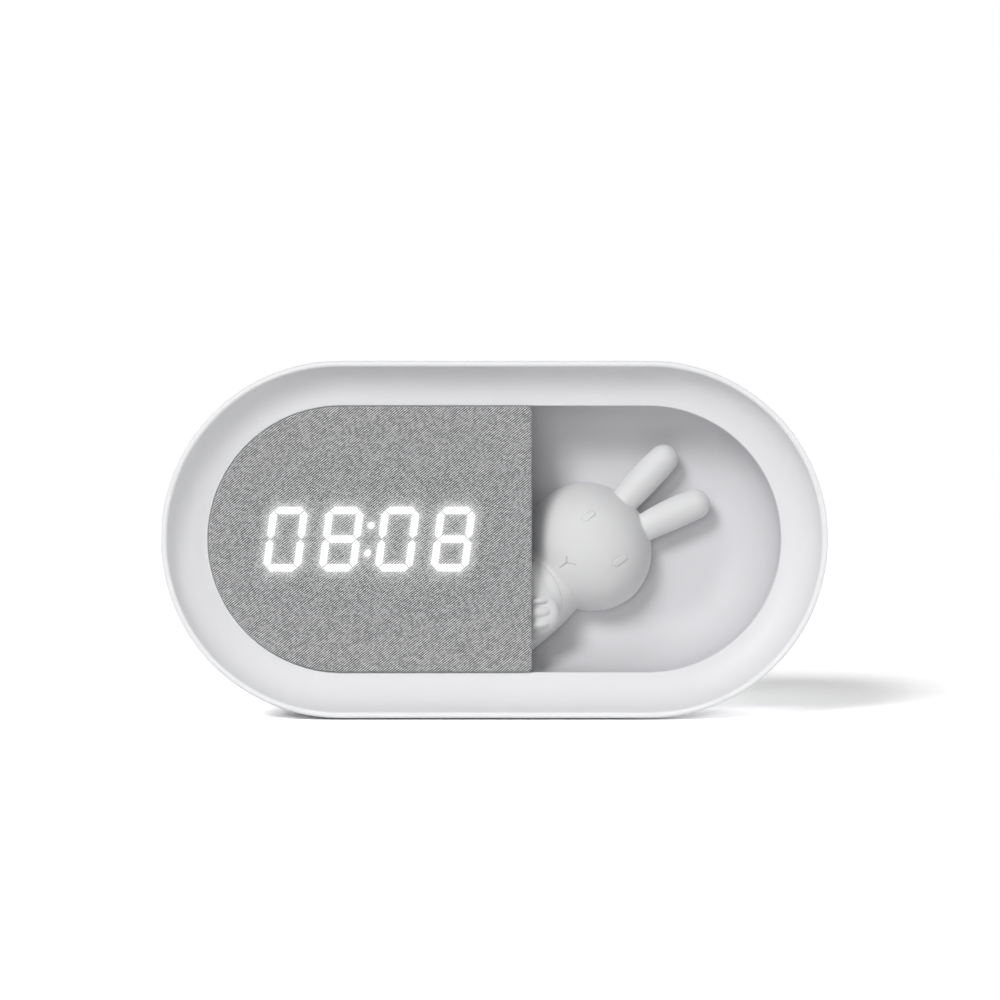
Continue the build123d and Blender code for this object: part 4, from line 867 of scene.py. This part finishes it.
FINGERS = ((-16.0, 3.9, 1.15), (-18.8, 4.8, 1.95), (-22.0, 4.3, 1.6))  # height, reach and half thickness
FINGER_X, FINGER_Y, FINGER_DEPTH = 10.0, -15.5, 2.6
BODY_BLEND, ARM_BLEND, EAR_BLEND, FINGER_BLEND = 0.2, 0.3, 0.3, 0.06
FACE_TILT = math.radians(35)
EYES = ((24.4, 6.0), (32.5, -5.6))
NOSE = (((18.58, -6.25), (18.68, -4.73)), ((18.58, -6.25), (20.66, -6.69)), ((18.58, -6.25), (16.95, -7.49)))
EYE_EDGE, GROOVE_START, GROOVE_END, NOSE_EDGE = 0.14, 0.06, 0.18, 0.07
FACE_DEPTH, FRONT = 6, -8  # from the head's middle to its face, and the y that the figure's front lies before
# The bowl's room: straight half length, radius, back, fillet and left end. Then the panel's end and back.
ROOM_STRAIGHT, ROOM_RADIUS, ROOM_BACK, ROOM_SWEEP, ROOM_LEFT = 39.5, 34.35, -0.15, 13.85, -1.35
PANEL_END, PANEL_BACK = 9.75, -17.35
PLUG, FLANGE = (11.0, 1.15, 3.15), (13.5, 3.05, 1.25)  # radius, middle and half length along Y
HOLLOW_RADIUS, HOLLOW_BACK, BORE_RADIUS, BORE_FRONT = 12.5, -4.0, 9.2, -5.0
FIGURE_SPAN = ((-2.5, 58.5), (-19.5, 5.5), (-36.0, 27.0))
# Spots of x, z and reach where the mesh is finer.
FACE_SPOTS = [(*eye, 2.8) for eye in EYES] + [(*NOSE[0][0], 2.7)]
PAW_SPOTS = [(10.5, -16.0, 9.5)]
SETTLE_ROUNDS, SETTLE_STEP, MOST_MOVE, LEAST_SLOPE = 2, 0.02, 0.3, 0.05


def egg(points, middle, radii, tilt=0.0):
    """Distance to an egg whose first radius rises by tilt from +X."""
    away = points - np.array(middle)
    turn = math.radians(tilt)
    along = away[:, 0] * math.cos(turn) + away[:, 2] * math.sin(turn)
    beside = away[:, 2] * math.cos(turn) - away[:, 0] * math.sin(turn)
    away = np.stack([along, away[:, 1], beside], 1)
    radii = np.array(radii)
    near = np.linalg.norm(away / radii, axis=1)
    return near * (near - 1) / np.maximum(np.linalg.norm(away / radii**2, axis=1), 1e-9)


def merge(first, second, blend):
    """Join two bodies with a fillet."""
    near = np.maximum(blend - np.abs(first - second), 0) / blend
    return np.minimum(first, second) - near * near * blend / 4


def ear(points, *places):
    """A flattened ear with a soft ridge, through places of x, z and half width."""
    places = np.array(places)
    runs = np.r_[0, np.cumsum(np.linalg.norm(np.diff(places[:, :2], axis=0), axis=1))]
    at = np.linspace(0, runs[-1], EAR_SAMPLES)
    distance = np.full(len(points), 1e9)
    for x, z, half_width in zip(*(np.polyval(np.polyfit(runs, places[:, k], 2), at) for k in range(3))):
        across = np.hypot(points[:, 0] - x, points[:, 2] - z)
        deep = np.abs(points[:, 1] - EAR_DEPTH) / EAR_FLATNESS
        distance = np.minimum(distance, (across**EAR_RIDGE + deep**EAR_RIDGE) ** (1 / EAR_RIDGE) - half_width)
    return distance


def line_distance(x, z, start, end):
    """Distance in the face's plane to a straight line."""
    (x0, z0), (x1, z1) = start, end
    run_x, run_z = x1 - x0, z1 - z0
    share_along = np.clip(((x - x0) * run_x + (z - z0) * run_z) / (run_x**2 + run_z**2), 0, 1)
    return np.hypot(x - x0 - share_along * run_x, z - z0 - share_along * run_z)


def step_down(value, start, end):
    """One before start, nought after end, and smooth between."""
    share_along = np.clip((end - value) / (end - start), 0, 1)
    return share_along * share_along * (3 - 2 * share_along)


def head_distance(points, sizes, fine):
    """The ball of the head, where fine with its eyes raised in a groove and its nose cut in."""
    distance = egg(points, HEAD, HEAD_RADII, HEAD_TILT)
    if not fine:
        return distance
    x, y, z = points.T
    front = y < HEAD[1] - FACE_DEPTH
    half = (sizes.eye_length - sizes.eye_width) / 2 / MM
    for eye_x, eye_z in EYES:
        run = (half * math.cos(FACE_TILT), half * math.sin(FACE_TILT))
        across = line_distance(x, z, (eye_x - run[0], eye_z - run[1]), (eye_x + run[0], eye_z + run[1]))
        edge = sizes.eye_width / MM / 2
        distance = distance - front * step_down(across, edge - EYE_EDGE, edge) * sizes.eye_relief / MM
        groove = step_down(np.abs(across - edge), GROOVE_START, GROOVE_END)
        distance = distance + front * groove * sizes.eye_groove / MM
    across = np.min([line_distance(x, z, *line) for line in NOSE], axis=0)
    edge = sizes.nose_width / MM / 2
    return distance + front * step_down(across, edge - NOSE_EDGE, edge + NOSE_EDGE) * sizes.nose_depth / MM


def figure_distance(points, sizes, fine=True):
    """Distance to the whole figure, in millimetres from the case's axis, below nought inside it."""
    x, y, z = points.T
    head = head_distance(points, sizes, fine)
    ears = np.minimum(ear(points, *UPPER_EAR), ear(points, *LOWER_EAR))
    body = egg(points, BODY, BODY_RADII, BODY_TILT)
    arm = egg(points, ARM, ARM_RADII, ARM_TILT)
    figure = merge(merge(body, head, BODY_BLEND), arm, ARM_BLEND)
    # The arm stands out a little from the head and the chest, with a crisp edge.
    outline = egg(points * (1, 0, 1) + (0, ARM[1], 0), ARM, ARM_RADII, ARM_TILT)
    relief = ARM_RELIEF if fine else ARM_RELIEF / 2
    figure = figure - (y < FRONT) * step_down(outline, -ARM_EDGE, ARM_EDGE) * relief
    paw = egg(points, PAW, PAW_RADII)
    for finger_z, reach, half in FINGERS:
        finger = egg(points, (FINGER_X, FINGER_Y, finger_z), (reach, FINGER_DEPTH, half))
        paw = merge(paw, finger, FINGER_BLEND)
    figure = merge(np.minimum(figure, paw), ears, EAR_BLEND)
    # The figure keeps to the room that the bowl and the panel leave.
    wide = np.hypot(np.maximum(np.abs(x) - ROOM_STRAIGHT, 0), z) - ROOM_RADIUS
    deep = y - ROOM_BACK
    room = np.hypot(np.maximum(wide + ROOM_SWEEP, 0), np.maximum(deep + ROOM_SWEEP, 0)) - ROOM_SWEEP
    room = room + np.minimum(np.maximum(wide, deep) + ROOM_SWEEP, 0)
    figure = np.maximum(figure, np.maximum(room, ROOM_LEFT - x))
    at_panel = np.minimum(PANEL_END - x, PANEL_BACK - y)
    figure = np.maximum(figure, np.where(at_panel > 0, at_panel, -1))
    # Plug and flange behind the head, and the hollow that lets it glow.
    around = np.hypot(x - HEAD[0], z - HEAD[2])
    for radius, middle, half in (PLUG, FLANGE):
        figure = np.minimum(figure, np.maximum(around - radius, np.abs(y - middle) - half))
    hollow = np.maximum(np.linalg.norm(points - HEAD, axis=1) - HOLLOW_RADIUS, y - HOLLOW_BACK)
    bore = np.maximum(around - BORE_RADIUS, BORE_FRONT - y)
    return np.maximum(np.maximum(figure, -hollow), -bore)


def settle(points, sizes):
    """Move points onto the figure's skin."""
    for _ in range(SETTLE_ROUNDS):
        value = figure_distance(points, sizes)
        rises = [
            figure_distance(points + axis, sizes) - figure_distance(points - axis, sizes)
            for axis in np.eye(3) * SETTLE_STEP
        ]
        slope = np.stack(rises, 1) / (2 * SETTLE_STEP)
        move = value[:, None] * slope / np.maximum((slope**2).sum(1), LEAST_SLOPE)[:, None]
        length_moved = np.linalg.norm(move, axis=1, keepdims=True)
        points = points - move * np.minimum(1, MOST_MOVE / np.maximum(length_moved, 1e-9))
    return points


def figure_mesh(sizes):
    """Faces of the figure from a grid of distances: one point in each cell that the skin crosses."""
    step = sizes.mesh_step / MM
    lines = [np.arange(low, high, step) for low, high in FIGURE_SPAN]
    shape = tuple(len(line) for line in lines)
    grid = np.stack(np.meshgrid(*lines, indexing="ij"), -1).reshape(-1, 3)
    # The grid is worked out in parts, which takes less memory.
    parts = [figure_distance(part, sizes, fine=False) for part in np.array_split(grid, 24)]
    value = np.concatenate(parts).reshape(shape)
    inside = value < 0
    total = np.zeros(tuple(size - 1 for size in shape) + (3,))
    crossings = np.zeros(total.shape[:3], int)
    for axis in range(3):
        for second, third in ((0, 0), (0, 1), (1, 0), (1, 1)):
            corner = [0, 0, 0]
            corner[(axis + 1) % 3], corner[(axis + 2) % 3] = second, third
            start = [slice(near, near + size - 1) for near, size in zip(corner, shape)]
            end = list(start)
            end[axis] = slice(1, shape[axis])
            before, after = value[tuple(start)], value[tuple(end)]
            crossed = (before < 0) != (after < 0)
            share_along = np.where(crossed, before / np.where(crossed, before - after, 1), 0)
            for k in range(3):
                total[..., k] += np.where(crossed, corner[k] + (share_along if k == axis else 0), 0)
            crossings += crossed
    holds = crossings > 0
    number = np.full(crossings.shape, -1)
    number[holds] = np.arange(holds.sum())
    where = np.argwhere(holds)
    points = (where + total[holds] / crossings[holds][:, None]) * step + [line[0] for line in lines]
    faces = []
    for axis in range(3):
        second, third = (axis + 1) % 3, (axis + 2) % 3
        start = [slice(1, size - 1) for size in shape]
        start[axis] = slice(0, shape[axis] - 1)
        end = list(start)
        end[axis] = slice(1, shape[axis])
        low_inside, high_inside = inside[tuple(start)], inside[tuple(end)]
        at = np.argwhere(low_inside != high_inside)
        leaves = low_inside[tuple(at.T)]
        at = at + [0 if k == axis else 1 for k in range(3)]
        ring = []
        for back_second, back_third in ((1, 1), (0, 1), (0, 0), (1, 0)):
            cell = at.copy()
            cell[:, second] -= back_second
            cell[:, third] -= back_third
            ring.append(number[tuple(cell.T)])
        ring = np.stack(ring, 1)
        faces.append(np.where(leaves[:, None], ring, ring[:, ::-1]))
    return points, np.concatenate(faces)


def refine(mesh, spots, cuts):
    """Divide the front of the mesh round some spots of x, z and reach, so that edges there are crisp."""
    work = bmesh.new()
    work.from_mesh(mesh)
    chosen = set()
    for face in work.faces:
        middle = face.calc_center_median() / MM
        height = middle.z - AXIS_HEIGHT / MM
        in_front = middle.y < FRONT and face.normal.y < -0.2
        if in_front and any(math.hypot(middle.x - x, height - z) < reach for x, z, reach in spots):
            chosen.update(face.edges)
    bmesh.ops.subdivide_edges(work, edges=list(chosen), cuts=cuts, use_grid_fill=True)
    work.to_mesh(mesh)
    work.free()


class CLOCK_OT_rabbit(bpy.types.Operator):
    """Model the silicone rabbit that lies in the alcove."""

    bl_idname = "clock.rabbit"
    bl_label = "Rabbit"

    def execute(self, context):
        scene = context.scene
        sizes = scene.clock_figure
        points, faces = figure_mesh(sizes)
        lift = np.array([0, 0, AXIS_HEIGHT / MM])
        piece = new_piece("rabbit_skin", ((settle(points, sizes) + lift) * MM).tolist(), faces.tolist())
        refine(piece.data, FACE_SPOTS, cuts=5)
        refine(piece.data, PAW_SPOTS, cuts=2)
        count = len(piece.data.vertices)
        place = np.zeros(count * 3)
        piece.data.vertices.foreach_get("co", place)
        place = settle(place.reshape(-1, 3) / MM - lift, sizes)
        piece.data.vertices.foreach_set("co", ((place + lift) * MM).ravel())
        piece.data.update()
        piece.data.shade_smooth()
        piece.data.materials.append(soft_silicone("silicone", scene.clock_colours.figure))
        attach(piece, "case")
        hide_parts("rabbit_figure")
        return {"FINISHED"}


# --- Sidebar ---
STEPS = (
    CLOCK_OT_stage, CLOCK_OT_case, CLOCK_OT_inner_parts, CLOCK_OT_cloth, CLOCK_OT_rear_screws,
    CLOCK_OT_dust_screen, CLOCK_OT_rabbit,
)


class CLOCK_PT_sidebar(bpy.types.Panel):
    """Lists the clock's sizes, colours and making steps."""

    bl_idname = "CLOCK_PT_sidebar"
    bl_label = "Alarm Clock"
    bl_space_type = "VIEW_3D"
    bl_region_type = "UI"
    bl_category = "Alarm Clock"

    def draw(self, context):
        for key in GROUPS:
            box, group = self.layout.box(), getattr(context.scene, key)
            box.label(text=key.removeprefix("clock_").title())
            for name in group.__annotations__:
                box.prop(group, name)
        for step in STEPS:
            self.layout.operator(step.bl_idname)


GROUPS = {
    "clock_display": ClockDisplaySizes, "clock_figure": ClockFigureSizes, "clock_back": ClockBackSizes,
    "clock_colours": ClockColours,
}


def register():
    for group in GROUPS.values():
        bpy.utils.register_class(group)
    for name, group in GROUPS.items():
        setattr(bpy.types.Scene, name, bpy.props.PointerProperty(type=group))
    for kind in (*STEPS, CLOCK_PT_sidebar):
        bpy.utils.register_class(kind)


def unregister():
    for kind in reversed((*STEPS, CLOCK_PT_sidebar)):
        bpy.utils.unregister_class(kind)
    for name, group in reversed(GROUPS.items()):
        delattr(bpy.types.Scene, name)
        bpy.utils.unregister_class(group)


def main():
    register()
    bpy.ops.clock.stage()
    bpy.ops.clock.case()
    bpy.ops.clock.inner_parts()
    bpy.ops.clock.cloth()
    bpy.ops.clock.rear_screws()
    bpy.ops.clock.dust_screen()
    bpy.ops.clock.rabbit()


if __name__ == "__main__":
    main()
